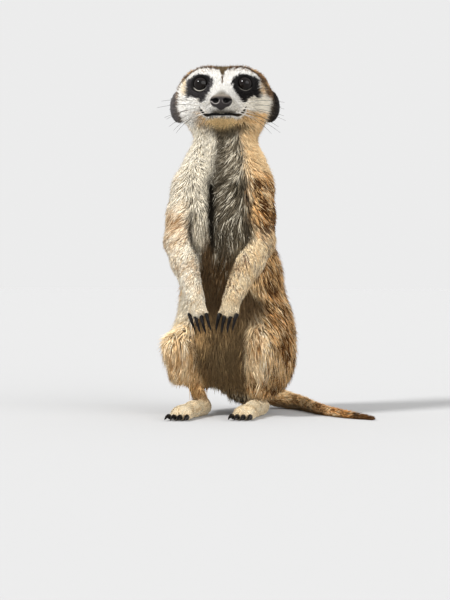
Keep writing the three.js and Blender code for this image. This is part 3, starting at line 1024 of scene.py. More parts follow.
def thigh_colour(p, rough, strand, side):
    y, z, outward = p[:, 1], p[:, 2], p[:, 0] * WAY[side]
    streak = noise(p, (1.0, 1.0, 4.0)) - 0.5
    if side == "left":
        layers = [
            (TAN, 0.35 + 1.5 * streak),
            (BROWN, 0.85 * ramp(streak + 0.5 * (0.5 - strand), 0.12, 0.26)),
            # the inner front of the left thigh painted paler, as painted light against the shade it lies in
            (PALE_TAN * 1.15, 0.75 * fall(outward, 9, 11.5) * (strand > 0.3)),
        ]
        barred = ramp(y + 5 * rough + 0.5 * (outward - 12), -6, -2.5)
    else:
        brown = ramp(streak + 0.8 * (0.5 - strand), 0.1, 0.24) * fall(z, 14, 26)
        layers = [(TAN, fall(z, 14, 28) * (0.6 + 1.6 * streak)), (BROWN, 0.85 * brown)]
        barred = ramp(y + 5 * rough, 4.5, 10)
    dark = 7.6 - outward + 2.2 * rough + 0.1 * (z - 18) + 1.4 * (0.5 - strand)
    inside = layered(
        OLIVE_BROWN * 0.8,
        (BELLY, 0.9 * (strand < 0.55)),
        (TAN * 0.85, 0.7 * (strand > 0.86)),
        (TAN * 0.9, 0.9 * lap(p) * (strand > 0.25)),
    )
    layers += [(barred_coat(p, rough, strand), barred), (inside, ramp(dark, -0.9, 0.9) * fall(y, 10, 16))]
    return layered(PALE_TAN, (CREAM, 0.9 * (strand > 0.55)), *layers)


def shank_colour(p, rough, strand, side):
    return over(TAN, BROWN, 0.9 * (strand < 0.35) + 0.2)


def foot_colour(p, rough, strand, side):
    return layered(PALE_TAN * 1.12, (CREAM, 0.9 * strand), (BROWN, 0.35 * (strand < 0.12)))


def tail_colour(p, strand):
    """Tan, with painted shade on its underside, and darker towards the dark tip."""
    nearest = nearest_on_tail(p)
    along = nearest / (TAIL_STEPS - 1)
    return layered(
        TAN,
        (PALE_TAN, 0.8 * (strand > 0.55)),
        (ORANGE_TAN, 0.9 * ramp(along, 0.5, 0.85) * (strand < 0.8)),
        (BROWN * 0.8, 0.8 * (strand < 0.26)),
        # painted shade on the underside of the tail
        (DARK_BROWN, 0.7 * fall(p[:, 2] - TAIL[nearest][:, 2], -1, 0)),
        (DARK_BROWN * 0.7, 0.95 * ramp(along + 0.1 * (strand - 0.5), 0.84, 0.95)),
    )


def creases(p, d, rough, strand, colour):
    """Draws the dark parting of the chest, and painted shade in the creases between arms and chest."""
    x, y, z = p.T
    width = 1.2 - 0.5 * ramp(np.abs(z - 59), 3, 10) + 1.5 * rough + 0.7 * (strand - 0.5)
    line = ramp(width - np.abs(x - midline(z)), -0.3, 0.2) * parting(p)
    colour = over(colour, DARK_GREY * 0.25, line)
    body = np.minimum(d[:, COLUMN["trunk"]], d[:, COLUMN["neck"]])
    for side in WAY:
        arm = np.minimum(d[:, COLUMN["upper_arm_" + side]], d[:, COLUMN["forearm_" + side]])
        # painted shade where arm and chest meet
        crease_shade = ramp(1.5 - np.abs(arm - body + 0.3) + 2 * rough, 0, 1.2)
        crease_shade *= ramp(z, 42, 46) * fall(z, 55, 61) * fall(y, -2, 2)
        colour = over(colour, DARK_GREY * 0.45, 0.85 * crease_shade)
    return colour


def strands(p, way, chance):
    """From 0 to 1, the same along a lock of hair and different across it, with some chance for each tuft."""
    steps = np.arange(-2, 3) * 0.75
    drawn = np.mean([noise(p + step * way + 7, 0.55) for step in steps], axis=0)
    return np.clip(0.5 + 2.6 * (drawn - 0.5) + 0.5 * (chance - 0.5), 0, 1)


LIMB_COLOURS = {
    "upper_arm": upper_arm_colour,
    "forearm": forearm_colour,
    "hand": hand_colour,
    "thigh": thigh_colour,
    "shank": shank_colour,
    "foot": foot_colour,
}


def paint(p, d, rough, strand, lines):
    """The colour of the coat at each point: the parts' colours, shared out near their borders."""
    q = to_head(p)
    head = head_colour(q, rough, strand, lines)
    # the ears are black, the right one painted paler charcoal as painted light on the side that faces the
    # key light
    ears = over(PALE_CHARCOAL, BLACK, ramp(q[:, 0], -1, 1)) * (0.7 + 0.6 * strand)[:, None]
    colours = [head, head, ears, neck_colour(p, rough, strand), trunk_colour(p, rough, strand)]
    limbs = [(LIMB_COLOURS[kind(part)], side_of(part)) for part in PARTS if kind(part) in LIMB_COLOURS]
    colours += [colour(p, rough, strand, side) for colour, side in limbs]
    colours.append(tail_colour(p, strand))
    total = sum(share[:, None] * colour for share, colour in zip(shares(d * 1.6).T, colours))
    return creases(p, d, rough, strand, total)


# ---------- the lie and growth of the coat ----------

# Each length of an arm: its ends, and how far its hair sweeps round it towards the midline.
ARM_SWEEPS = {
    "upper_arm": ("shoulder", "elbow", 0.7),
    "forearm": ("elbow", "wrist", 0.9),
    "hand": ("wrist", "claw_tips", 0.2),
}


def vectors(*columns):
    return np.stack(np.broadcast_arrays(*columns), 1)


def head_lie(q):
    """Back from the nose, down behind the cheeks, up over the eyes and away from the mouth."""
    x, y, z = q.T
    back = unit(q - np.array((0, -17.5, -6.0)))
    back = back + vectors(0.25 * np.sign(x) * ramp(np.abs(x), 3, 8), 0, -0.9 * ramp(y, 0, 8))
    back[:, 2] += 0.35 * fall(y, -6, -2) * ramp(z, -1, 3)
    by_mouth = np.exp(-((mouth_distance(q) / 1.1) ** 2))
    back[:, 2] += 1.6 * by_mouth * np.sign(above_mouth(q))
    return unit(back) @ HEAD_TURN.T


def body_lies(p):
    """The lie on neck, trunk and thighs: down, and on the chest towards the parting."""
    x, y, z = p.T
    side = np.tanh(x / 1.5)
    front = fall(y, -4, 1)
    off = x + 0.9
    turned = np.sign(off) * ramp(np.abs(off), 0.6, 3.5)
    turned = turned * (1 - 2 * ramp(np.abs(round_body(p)), 34, 64))
    inward = -turned * front * 1.25 * ramp(z, 52, 64) * (1 - 0.45 * ramp(z, 72, 82))
    return dict(
        neck=vectors(inward, 0.15, -1),
        trunk=vectors(inward + 0.25 * side * (1 - front), 0.22 * (1 - front), -1),
        thigh=vectors(0.12 * side, -0.12, -1),
    )


def lie(p, share, normal):
    """Which way the hairs point, along the skin."""
    q = to_head(p)
    head = head_lie(q)
    ear_roots = vectors(11.0 * np.sign(q[:, 0]), 5.0, -2.0)
    directions = dict(
        skull=head,
        jaw=head,
        ears=unit(q - ear_roots) @ HEAD_TURN.T,
        shank=np.array([[0, 0.1, -1.0]]),
        foot=np.array([[0, -1.0, -0.25]]),
        tail=TAIL_WAY[nearest_on_tail(p)],
        **body_lies(p),
    )
    total = np.zeros((len(p), 3))
    for i, part in enumerate(PARTS):
        if kind(part) in ARM_SWEEPS:
            start, end, sweep = ARM_SWEEPS[kind(part)]
            arm = ARMS[side_of(part)]
            axis = unit(np.array([np.subtract(arm[end], arm[start])], float))
            direction = axis - sweep * WAY[side_of(part)] * unit(np.cross(axis, normal))
        else:
            direction = directions[kind(part)]
        total += share[:, i, None] * direction
    total -= np.einsum("ij,ij->i", total, normal)[:, None] * normal
    return unit(total)


def on_side(parts, side):
    return [f"{part}_{side}" for part in parts]


# Each piece of the coat: its material slot and parts, and for its map the upright axis that it is
# wrapped round and its lowest and highest point.
COAT_PIECES = {
    "face": ("face", ["jaw"]),
    "crown": ("face", ["skull"]),
    "ears": ("ear", ["ears"]),
    "neck": ("throat", ["neck"], (0.2, 0), (60, 88)),
    "trunk": ("flank", ["trunk"], (0, 6), (3, 74)),
    "arm_right": ("arm", on_side(ARM_PARTS, "right"), (-9, -7), (27, 70)),
    "arm_left": ("arm", on_side(ARM_PARTS, "left"), (8.5, -6), (27, 70)),
    "leg_right": ("haunch", on_side(LEG_PARTS, "right"), (-8.5, 3), (0, 34)),
    "leg_left": ("haunch", on_side(LEG_PARTS, "left"), (9.2, 5), (0, 34)),
    "tail": ("tail_end", ["tail"]),
}
MOST_TUFTS = 19500  # in one piece: a tuft is 10 triangles


def unwrap(p, piece):
    """Angle round a piece's own axis and place along it, each from 0 to 1."""
    q = to_head(p)
    if piece in ("face", "crown"):
        angle = np.arctan2(q[:, 0], -q[:, 2] - 2)
        along = (q[:, 1] + 16) / 29
    elif piece == "ears":
        angle = np.arctan2(q[:, 2] + 2, q[:, 1] - 4.6)
        along = (np.sign(q[:, 0]) * (np.abs(q[:, 0]) - 9.5) / 7 + 1) / 2
    elif piece == "tail":
        nearest = nearest_on_tail(p)
        offset = p - TAIL[nearest]
        tangent = TAIL_WAY[nearest]
        across = unit(np.cross(tangent, np.array([0, 0, 1.0])))
        angle = np.arctan2(offset[:, 2], np.einsum("ij,ij->i", offset, across))
        along = (nearest + 0.5 * np.einsum("ij,ij->i", offset, tangent)) / (TAIL_STEPS - 1)
    else:
        _, _, axis, (low, high) = COAT_PIECES[piece]
        angle = np.arctan2(p[:, 0] - axis[0], axis[1] - p[:, 1])
        along = (p[:, 2] - low) / (high - low)
    return np.stack([angle / (2 * math.pi) + 0.5, np.clip(along, 0, 1)], 1)


# A tuft has three corners at its root, three at its middle and one at its tip.
TUFT_PATCH = 0.003
TUFT_FACES = [(0, 2, 1), (0, 1, 4), (0, 4, 3), (1, 2, 5), (1, 5, 4), (2, 0, 3), (2, 3, 5)]
TUFT_FACES = np.array(TUFT_FACES + [(3, 4, 6), (4, 5, 6), (5, 3, 6)])
TUFT_MAP = np.array([(0, 0), (1, 0), (0.5, 0.25), (0.15, 0.5), (0.85, 0.5), (0.5, 0.72), (0.5, 1)])
BARE_FLOOR, BARE_NOSE, BARE_LID = 0.12, 0.1, 0.22  # the skin is bare this close to each


def scatter(points, triangles):
    """Places on the skin, spread evenly by the coat's density."""
    corner = points[triangles]
    middle = corner.mean(1)
    across = np.cross(corner[:, 1] - corner[:, 0], corner[:, 2] - corner[:, 0])
    area = np.linalg.norm(across, axis=1) / 2
    density = coat_size(middle, shares(fields_at(middle)))[:, 3] / MM**2
    q = to_head(middle)
    lips = 0.46 + 0.22 * ramp(np.abs(q[:, 0]), 4.6, 5.6)
    bare = (middle[:, 2] < BARE_FLOOR) | (nose_pad(q) < BARE_NOSE) | (mouth_distance(q) < lips)
    for way in (-1, 1):
        far, rim = eye_angles(q, way)
        bare |= (far < EYE_RADIUS + 0.9) & (rim < BARE_LID)
    wanted = np.cumsum(area * np.where(bare, 0, density) * (1))
    places = np.arange(int(wanted[-1])) + random.random(int(wanted[-1]))
    chosen = np.searchsorted(wanted, np.minimum(places, wanted[-1] - 1e-6))
    a, b = random.random((2, len(chosen), 1))
    flip = a + b > 1
    a, b = np.where(flip, 1 - a, a), np.where(flip, 1 - b, b)
    tri = corner[chosen]
    return tri[:, 0] * (1 - a - b) + tri[:, 1] * a + tri[:, 2] * b


def to_height(p, height):
    """Moves points until they lie at the given height over the coat's surface."""
    for _ in range(2):
        value, gradient = slope(coat_at, p, 0.1)
        p = p - np.clip(value - height, -2.5, 2.5)[:, None] * unit(gradient)
    return p


def kept_short(root, end, longest):
    """Draws the ends back to within the longest distance from their roots."""
    drawn = end - root
    far = np.linalg.norm(drawn, axis=1, keepdims=True)
    return root + drawn * np.minimum(1, longest[:, None] / np.maximum(far, 1e-6))


def kept_beside(root, end, gap):
    """Keeps the ends on their roots' side of the chest's parting, and the gap away from it."""
    side = np.sign(root[:, 0] - midline(root[:, 2]))
    middle = midline(end[:, 2])
    clear = middle + side * np.maximum(side * (end[:, 0] - middle), gap)
    end[:, 0] = np.where(parting(root) > 0.3, clear, end[:, 0])


def grow_coat(points, triangles):
    """Each tuft's root, middle and tip, its width and colours, and the parts that it grows on."""
    root = scatter(points, triangles)
    count = len(root)
    share = shares(fields_at(root))
    value, gradient = slope(coat_at, root)
    normal = unit(gradient)
    deep = np.maximum(-value, 0.05)  # the coat's depth here
    spread = random.normal(size=(6, count))
    size = coat_size(root, share)
    length = size[:, 1] * MM * np.exp(0.22 * spread[0])
    width = size[:, 2] * MM * np.exp(0.2 * spread[1]) / 2
    q = to_head(root)
    outward, behind, above = np.abs(q[:, 0]), q[:, 1], q[:, 2]
    on_head = head_share(share)
    cheek = on_head * ramp(outward, 8.2, 9.8) * fall(behind, 1.5, 4.5) * fall(above, 0, 3)
    crest = on_head * ramp(above, 4.0, 6.0) * fall(np.abs(behind), 4, 7)
    length *= 1 - 0.7 * np.exp(-((mouth_distance(q) / 1.1) ** 2))
    length *= 1 + 0.9 * cheek

    way = lie(root, share, normal)
    swirl = (noise(root, (2.5, 2.5, 2.5)) - 0.5) * 0.9 + 0.13 * spread[2]
    way = unit(way + swirl[:, None] * np.cross(normal, way))
    middle = root + way * (0.5 * length)[:, None] + normal * (0.3 * deep)[:, None]
    tip = root + way * length[:, None] + normal * (0.7 * deep)[:, None]
    middle = to_height(middle, -deep * (0.42 + 0.1 * spread[3]))
    stray = 0.55 * ramp(deep, 0.4, 1.4) + 0.25 * share[:, COLUMN["ears"]]
    stray = (random.random(count) > 0.82) * stray
    ruffled = random.random(count) > 0.6
    stray += ruffled * (0.9 * cheek + 0.95 * crest) * random.random(count)
    tip = to_height(tip, -deep * (0.02 + 0.2 * spread[4]) + stray)
    tip += way * (0.12 * length)[:, None]

    # under the belly and the haunches the hair hangs
    body = share[:, [COLUMN[part] for part in ("trunk", "thigh_right", "thigh_left")]].sum(1)
    hang = (body * ramp(-normal[:, 2], 0.2, 0.6) * ramp(root[:, 2], 1.5, 3))[:, None]
    down = unit(vectors(0.12 * spread[2], -0.2 + 0.1 * spread[5], -1))
    middle += hang * (root + down * (0.25 * length)[:, None] - middle)
    tip += hang * (root + down * (0.44 * length)[:, None] - tip)
    middle = kept_short(root, middle, 0.75 * length)
    tip = kept_short(root, tip, 1.3 * length)
    beside = np.abs(root[:, 0] - midline(root[:, 2]))
    gap = np.minimum(beside, 0.35 + 0.7 * random.random(count))
    for end in (middle, tip):
        kept_beside(root, end, gap)

    rough = (noise(root, 0.5) - 0.5) * 0.5 + 0.11 * spread[5]
    strand = strands(root, way, random.random(count))
    colour = paint(middle, fields_at(middle), rough, strand, False)
    tip_colour = (colour + paint(tip, fields_at(tip), rough, strand, False)) / 2
    # long tufts shade each other, and so are painted lighter, and those of the face darker
    gain = 1 + 0.3 * ramp(length[:, None] / MM, 3, 9)
    gain *= 1 - 0.17 * (on_head * faceness(q))[:, None]
    grown = dict(root=root, normal=normal, middle=middle, tip=tip, width=width, deep=deep)
    return dict(grown, share=share, base=colour * gain, end=tip_colour * gain)


def tuft_mesh(coat, rows, piece, name):
    """One piece of the coat: tapered three-sided tufts, dark at the root and pale at the tip."""
    root, middle, tip = [coat[k][rows] for k in ("root", "middle", "tip")]
    normal, width = coat["normal"][rows], coat["width"][rows, None]
    across = unit(np.cross(normal, tip - root))
    up = unit(np.cross(tip - root, across))
    start = root - normal * (0.15 * coat["deep"][rows] + 0.04)[:, None]
    rings = []
    for centre, scale in ((start, 1.0), (middle, 0.85)):
        for offset in (-across, across, up * 0.7):
            rings.append(centre + offset * width * scale)
    corners = np.stack([*rings, tip], 1)
    corners[..., 2] = np.maximum(corners[..., 2], 0.01)
    count = len(rows)
    first = corners.shape[1] * np.arange(count)[:, None, None]
    faces = (TUFT_FACES[None] + first).reshape(-1, 3)
    bright = np.exp(0.16 * random.normal(size=(count, 1)))
    base, end = coat["base"][rows] * bright, coat["end"][rows] * bright
    colours = np.stack([base * 0.6] * 3 + [base] * 3 + [end * 1.12], 1).reshape(-1, 3)
    colours /= np.maximum(colours.max(1, keepdims=True), 1)
    place = unwrap(root, piece) * (1 - 2 * TUFT_PATCH) + TUFT_PATCH / 2
    uv = (place[:, None] + TUFT_MAP[None] * TUFT_PATCH).reshape(-1, 2)[faces]
    return mesh_object(name, corners.reshape(-1, 3), faces, np.maximum(colours, 0), uv)


# ---------- materials ----------


def new_material(name, roughness, specular):
    material = bpy.data.materials.new(name)
    material.use_nodes = True
    shader = material.node_tree.nodes["Principled BSDF"]
    shader.inputs["Roughness"].default_value = roughness
    shader.inputs["Specular IOR Level"].default_value = specular
    return material, material.node_tree, shader


def add(tree, node_kind, inputs, **settings):
    """A node with its settings, and with values or other nodes' outputs on its inputs."""
    made = tree.nodes.new("ShaderNode" + node_kind)
    for name, value in settings.items():
        setattr(made, name, value)
    for name, value in inputs.items():
        if isinstance(value, bpy.types.NodeSocket):
            tree.links.new(value, made.inputs[name])
        else:
            made.inputs[name].default_value = value
    return made


def object_noise(tree, scale, detail):
    place = add(tree, "TexCoord", {}).outputs["Object"]
    return add(tree, "TexNoise", {"Vector": place, "Scale": scale, "Detail": detail}).outputs["Fac"]


def spread_out(tree, value, low, high):
    return add(tree, "MapRange", {"Value": value, "To Min": low, "To Max": high}).outputs["Result"]


def mottled_paint(tree, shader, mottle, variation):
    """Lays on the mesh's own colours, made lighter and darker by a noise."""
    gain = spread_out(tree, mottle, 1 - variation, 1 + variation)
    painted = add(tree, "VertexColor", {}, layer_name="coat").outputs["Color"]
    shade = add(tree, "VectorMath", {0: painted, "Scale": gain}, operation="SCALE")
    tree.links.new(shade.outputs["Vector"], shader.inputs["Base Color"])


def roughen(tree, shader, grain, strength, distance):
    lift = add(tree, "Bump", {"Height": grain, "Strength": strength, "Distance": distance})
    tree.links.new(lift.outputs["Normal"], shader.inputs["Normal"])


def coat_material(name, roughness, bump_scale, bump, variation, variation_scale):
    """Colour from the coat's own markings, mottled a little, with a fine hairy bump."""
    material, tree, shader = new_material(name, roughness, 0.12)
    mottle = object_noise(tree, variation_scale, 4)
    mottled_paint(tree, shader, mottle, variation)
    gloss = spread_out(tree, mottle, roughness - 0.1, roughness + 0.1)
    tree.links.new(gloss, shader.inputs["Roughness"])
    roughen(tree, shader, object_noise(tree, bump_scale, 3), bump, 0.0006)
    return material


def eye_material():
    material, tree, shader = new_material("eye_gloss", 0.05, 0.2)
    mottled_paint(tree, shader, object_noise(tree, 900, 2), 0.5)
    return material


def horn_material():
    material, tree, shader = new_material("claw_horn", 0.35, 0.1)
    grain = object_noise(tree, 350, 5)
    steps = add(tree, "ValToRGB", {"Fac": grain})
    dark_and_pale = ((0.35, (10, 9, 9)), (0.75, (34, 30, 28)))
    for element, (position, colour) in zip(steps.color_ramp.elements, dark_and_pale):
        element.position = position
        element.color = (*tone(*colour), 1)
    tree.links.new(steps.outputs["Color"], shader.inputs["Base Color"])
    roughen(tree, shader, grain, 0.3, 0.0003)
    return material


# ---------- skin and coat ----------

NET_STEP = 0.36
BOX_LOW, BOX_HIGH = (-20.5, -22.5, -1.5), (44.5, 35.5, 101.5)
SKIN_TRIANGLES = 90000  # before the head is refined
HEAD_EDGE, LINE_EDGE = 0.42, 0.16  # wanted edge lengths on the head, and by lids and mouth
AS_IT_IS = 9  # an edge length that nothing exceeds


def thinned(points, triangles, count):
    """The mesh with about the given number of triangles, by Blender's Decimate."""
    draft = mesh_object("skin_draft", points, triangles)
    draft.modifiers.new("fewer", "DECIMATE").ratio = count / len(triangles)
    mesh = draft.evaluated_get(bpy.context.evaluated_depsgraph_get()).data
    points = np.empty(3 * len(mesh.vertices), np.float32)
    mesh.vertices.foreach_get("co", points)
    mesh.calc_loop_triangles()
    triangles = np.empty(3 * len(mesh.loop_triangles), np.int32)
    mesh.loop_triangles.foreach_get("vertices", triangles)
    bpy.data.objects.remove(draft)
    return (points.reshape(-1, 3).astype(float) - ORIGIN) / UNIT, triangles.reshape(-1, 3)


def too_long(points, triangles):
    """The triangles of the head that are too coarse for its lids and mouth."""
    q = to_head(points[triangles].mean(1))
    edge = np.linalg.norm(points[triangles[:, 0]] - points[triangles[:, 1]], axis=1)
    lids = []
    for way in (-1, 1):
        far, rim = eye_angles(q, way)
        lids.append(np.abs(rim) + np.abs(far - 2.4))
    lined = (np.minimum(*lids) < 1.2) | (mouth_distance(q) < 0.5)
    wanted = np.where((np.abs(q) < (14, 13, 11)).all(1), HEAD_EDGE, AS_IT_IS)
    return edge > 1.35 * np.minimum(wanted, np.where(lined, LINE_EDGE, AS_IT_IS))


points, triangles = surface(skin_at, BOX_LOW, BOX_HIGH, NET_STEP)
for _ in range(2):
    points = settle(skin_at, relax(points, triangles))
points, triangles = thinned(points, triangles, SKIN_TRIANGLES)
for _ in range(3):
    points, triangles = refine(points, triangles, too_long(points, triangles))
    points = settle(skin_at, points, 0.1)

d = fields_at(points)
rough = (noise(points, 0.5) - 0.5) * 0.4
normals = unit(slope(coat_at, points)[1])
strand = strands(points, lie(points, shares(d), normals), noise(points, 0.3))
skin_colours = paint(points, d, rough, strand, True) * 0.72
skin = mesh_object("skin", points, triangles, np.clip(skin_colours, 0, 1))
skin.data.materials.append(coat_material("skin_coat", 0.75, 1400, 0.5, 0.16, 300))

coat = grow_coat(points, triangles)
piece_of_part = {part: piece for piece, (_, parts, *_) in COAT_PIECES.items() for part in parts}
piece_of = np.array([piece_of_part[part] for part in PARTS])[coat["share"].argmax(1)]
piece_of[(piece_of == "crown") & (faceness(to_head(coat["root"])) > 0.5)] = "face"
hair = coat_material("hair", 0.6, 900, 0.25, 0.12, 500)
coat_objects = []
for piece, (slot, *_) in COAT_PIECES.items():
    rows = np.flatnonzero(piece_of == piece)
    lots = max(1, math.ceil(len(rows) / MOST_TUFTS))
    for lot in range(lots):
        label = "coat_" + piece + (f"_{lot + 1}" if lots > 1 else "")
        tufts = tuft_mesh(coat, rows[lot::lots], piece, label)
        tufts.data.materials.append(hair)
        coat_objects.append(tufts)
FLESH = [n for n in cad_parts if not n.startswith(("eye", "nose")) and "claw" not in n]
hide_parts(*FLESH)

# ---------- eyes, nose, whiskers and claws ----------


def ring_faces(rings, sides):
    """Corners of the faces between rings of points: two on one ring, and the two beyond them."""
    i, j = grid_of(np.arange(rings - 1), np.arange(sides)).T
    k = (j + 1) % sides
    return i * sides + j, i * sides + k, (i + 1) * sides + k, (i + 1) * sides + j


def eye_mesh(name, way):
    """A ball with a bulging cornea, its rings round the gaze."""
    rings, sides = 26, 40
    angle = np.linspace(0, math.pi, rings)
    turn = np.linspace(0, 2 * math.pi, sides, endpoint=False)
    bulge = EYE_RADIUS * (1 + 0.05 * np.exp(-((angle / math.radians(32)) ** 2)))
    x = np.outer(bulge * np.sin(angle), np.cos(turn))
    z = np.outer(bulge * np.sin(angle), np.sin(turn))
    y = np.outer(-bulge * np.cos(angle), np.ones(sides))
    local = np.stack([x, y, z], -1).reshape(-1, 3)
    places = from_head(local @ eye_frame(way).T + eye_middle(way))
    a, b, c, e = ring_faces(rings, sides)
    degrees = np.degrees(np.repeat(angle, sides))
    iris = ramp(degrees, 17, 22) * fall(degrees, 44, 52)
    made = mesh_object(name, places, np.stack([a, e, c, b], 1), over(tone(9, 7, 6), tone(16, 10, 7), iris))
    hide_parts(name.replace("_ball", ""))
    return made


eye_gloss = eye_material()
solid_objects = []
for name, way in (("eye_right", -1), ("eye_left", 1)):
    eye = eye_mesh(name + "_ball", way)
    eye.data.materials.append(eye_gloss)
    solid_objects.append(eye)


def nose_colour(q):
    """Dark leather: paler on top, with a painted highlight on the lower rims of the nostrils that is
    strongest on the right, black inside them.
    """
    x, y, z = q.T
    nostril = nostrils(q)
    # a painted highlight on the lower rims of the nostrils, strongest on the right
    rim = fall(np.abs(nostril - 0.22), 0.06, 0.16) * fall(z, -6.3, -5.9)
    return layered(
        tone(40, 36, 36),
        (tone(124, 114, 102), 0.85 * ramp(z + 0.3 * y, -10.7, -9.4)),
        (tone(150, 144, 140), rim * (0.7 * fall(x, -1.0, 1.0) + 0.15)),
        (tone(8, 7, 7), fall(nostril, -0.02, 0.1)),
    )


nose_at = threaded(nose_pad)
nose_points, nose_faces = surface(nose_at, (-3.6, -18.2, -8.8), (3.6, -13.6, -3.8), 0.13)
nose_points = settle(nose_at, relax(nose_points, nose_faces))
nose = mesh_object("nose_pad", from_head(nose_points), nose_faces, nose_colour(nose_points))
nose.data.materials.append(coat_material("nose_leather", 0.36, 1500, 0.7, 0.12, 500))
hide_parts("nose")
solid_objects.append(nose)


def arc(start, bend, end, steps):
    """Points on a curve that leaves its start towards the bend."""
    t = np.linspace(0, 1, steps)[:, None]
    return start * (1 - t) ** 2 + 2 * bend * t * (1 - t) + end * t**2


def tube(path, radii, sides, across, flat=1, point=0):
    """A closed tube of triangles along a path, made narrower sideways by `flat`, with a point on its end."""
    tangent = unit(np.gradient(path, axis=0))
    side = unit(np.cross(tangent, np.array(across)))
    up = np.cross(side, tangent)
    turn = np.linspace(0, 2 * math.pi, sides, endpoint=False)[:, None]
    offsets = flat * np.cos(turn) * side[:, None] + np.sin(turn) * up[:, None]
    ring = (path[:, None] + radii[:, None, None] * offsets).reshape(-1, 3)
    a, b, c, e = ring_faces(len(path), sides)
    j = np.arange(sides)
    k = (j + 1) % sides
    last = len(ring) - sides
    start, end = np.full(sides, len(ring)), np.full(sides, len(ring) + 1)
    faces = [np.stack(f, 1) for f in ((a, b, c), (a, c, e), (k, j, start), (last + j, last + k, end))]
    return np.vstack([ring, path[0], path[-1] + tangent[-1] * point]), np.vstack(faces)


def joined(tubes):
    """Several meshes as one."""
    points, faces = zip(*tubes)
    first = np.cumsum([0, *map(len, points[:-1])])
    return np.vstack(points), np.vstack([face + count for face, count in zip(faces, first)])


WHISKERS = 7  # on each side
WHISKER_STEPS, WHISKER_SIDES = 14, 5


def whisker(way, number):
    lift = math.radians(12 - 6.0 * number + random.normal())
    reach = 15.0 - 0.6 * number + random.normal() * 0.8
    out = way * (3.3 + 0.35 * (number % 2))
    root = np.array([out, -10.9 + 0.9 * (number % 3), -6.1 - 0.28 * number])
    tip = root + (way * reach * math.cos(lift), 7.2, reach * math.sin(lift))
    bend = root + (way * 6.0, -0.6, 6.0 * math.sin(lift) + 1.0)
    radii = np.linspace(0.1, 0.03, WHISKER_STEPS)
    return tube(from_head(arc(root, bend, tip, WHISKER_STEPS)), radii, WHISKER_SIDES, (0.1, 0.2, 1.0))


whisker_points, whisker_faces = joined([whisker(way, n) for way in (-1, 1) for n in range(WHISKERS)])
along = np.r_[np.repeat(np.linspace(0, 1, WHISKER_STEPS), WHISKER_SIDES), 0, 1]
whisker_colour = over(tone(196, 190, 180), tone(60, 54, 48), ramp(along, 0.3, 0.6))
whisker_colours = np.tile(whisker_colour, (2 * WHISKERS, 1))
whiskers = mesh_object("whiskers", whisker_points, whisker_faces, whisker_colours)
whiskers.data.materials.append(coat_material("whisker_hair", 0.5, 2500, 0.2, 0.2, 900))
solid_objects.append(whiskers)

CLAW_RINGS, CLAW_SIDES, CLAW_RADIUS = 10, 10, 0.72


def claw(end, tip, bow, digit_radius):
    """A curved, tapered claw, flattened at the sides, from inside the digit's end to its own tip."""
    root = between(end, tip, 0.35 * digit_radius / np.linalg.norm(tip - end))
    middle = between(root, tip, 0.5) + np.array(bow)
    t = np.linspace(0, 1, CLAW_RINGS)
    radii = CLAW_RADIUS * (1 - t) ** 0.55 + 0.04
    path = arc(root, 2 * middle - (root + tip) / 2, tip, CLAW_RINGS)
    return tube(path, radii, CLAW_SIDES, bow, flat=0.78, point=0.05)


def claws_mesh(limb, side, digits, bow, digit_radius):
    """The four claws of one hand or foot, clear of the floor."""
    points, faces = joined([claw(end, tip, bow, digit_radius) for _, end, tip in digits])
    points[:, 2] = np.maximum(points[:, 2], 0.03)
    made = mesh_object(f"claws_{limb}_{side}", points, faces)
    nodes = [f"{limb}_claw_{side}_{i}" for i in range(1, 5)]
    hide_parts(*nodes)
    return made


horn = horn_material()
for side in WAY:
    hand = claws_mesh("hand", side, arm_digits(side), (0, -0.6, 0.2), 0.66)
    foot = claws_mesh("foot", side, leg_digits(side), (0, 0, 0.55), 0.8)
    for claws in (hand, foot):
        claws.data.materials.append(horn)
        solid_objects.append(claws)

for piece in [skin, *coat_objects, *solid_objects]:
    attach(piece, "root")

# ---------- floor, light and camera ----------

CAMERA_TURN = math.radians(16)
CAMERA_FAR, CAMERA_HEIGHT, AIM_HEIGHT = 421, 37, 33.13
SENSOR = 36
FOCAL_SHARE = 1479.8 / 600  # focal length over the picture's height
FLOOR_REACH = 60  # metres

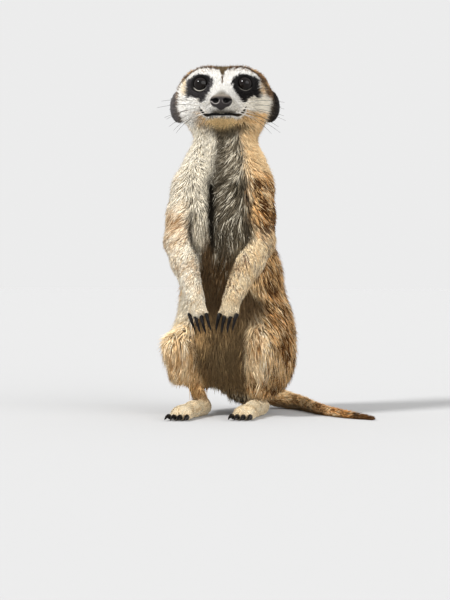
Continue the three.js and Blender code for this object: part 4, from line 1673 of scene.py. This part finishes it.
# A soft key light from the upper left and a wide weak one from the right, in an even pale studio. The
# paper of the floor is as bright under all three as the studio's wall, so the two meet with no line.
STUDIO = 0.84
LIGHTS = {"key": (-38, 40, 12, 1.15), "fill": (58, 16, 60, 0.8)}  # turn, lift and width in degrees, power
SUNLIT = sum(power * math.sin(math.radians(lift)) for _, lift, _, power in LIGHTS.values())
PAPER = STUDIO / (STUDIO + SUNLIT)

floor_mesh = bpy.data.meshes.new("floor")
floor_corners = [(x * FLOOR_REACH, y * FLOOR_REACH, 0) for x, y in ((-1, -1), (1, -1), (1, 1), (-1, 1))]
floor_mesh.from_pydata(floor_corners, [], [(0, 1, 2, 3)])
floor = placed("floor", floor_mesh)
paper, _, shader = new_material("floor_paper", 1.0, 0)
shader.inputs["Base Color"].default_value = (PAPER, PAPER, PAPER, 1)
floor.data.materials.append(paper)

world = bpy.data.worlds.new("studio")
bpy.context.scene.world = world
world.use_nodes = True
world.node_tree.nodes["Background"].inputs["Color"].default_value = (STUDIO, STUDIO, STUDIO, 1)


def pointed(thing, place, target):
    """Puts a light or camera at a place, looking at a target."""
    thing.location = place
    thing.rotation_euler = Vector(np.array(target) - np.array(place)).to_track_quat("-Z", "Y").to_euler()


for name, (turn, lift, wide, power) in LIGHTS.items():
    light = bpy.data.lights.new(name, "SUN")
    light.energy, light.angle = power * math.pi, math.radians(wide)
    turn, lift = math.radians(turn), math.radians(lift)
    beam = np.array([math.sin(turn) * math.cos(lift), -math.cos(turn) * math.cos(lift), math.sin(lift)])
    pointed(placed(name, light), to_world((0, 0, 50)) + 2 * beam, to_world((0, 0, 50)))

camera_data = bpy.data.cameras.new("camera")
camera_data.sensor_width = SENSOR
camera_data.lens = SENSOR * FOCAL_SHARE
camera = placed("camera", camera_data)
place = (CAMERA_FAR * math.sin(CAMERA_TURN), -CAMERA_FAR * math.cos(CAMERA_TURN), CAMERA_HEIGHT)
pointed(camera, to_world(place), to_world((0, 0, AIM_HEIGHT)))
bpy.context.scene.camera = camera
bpy.context.scene.view_settings.view_transform = "Standard"
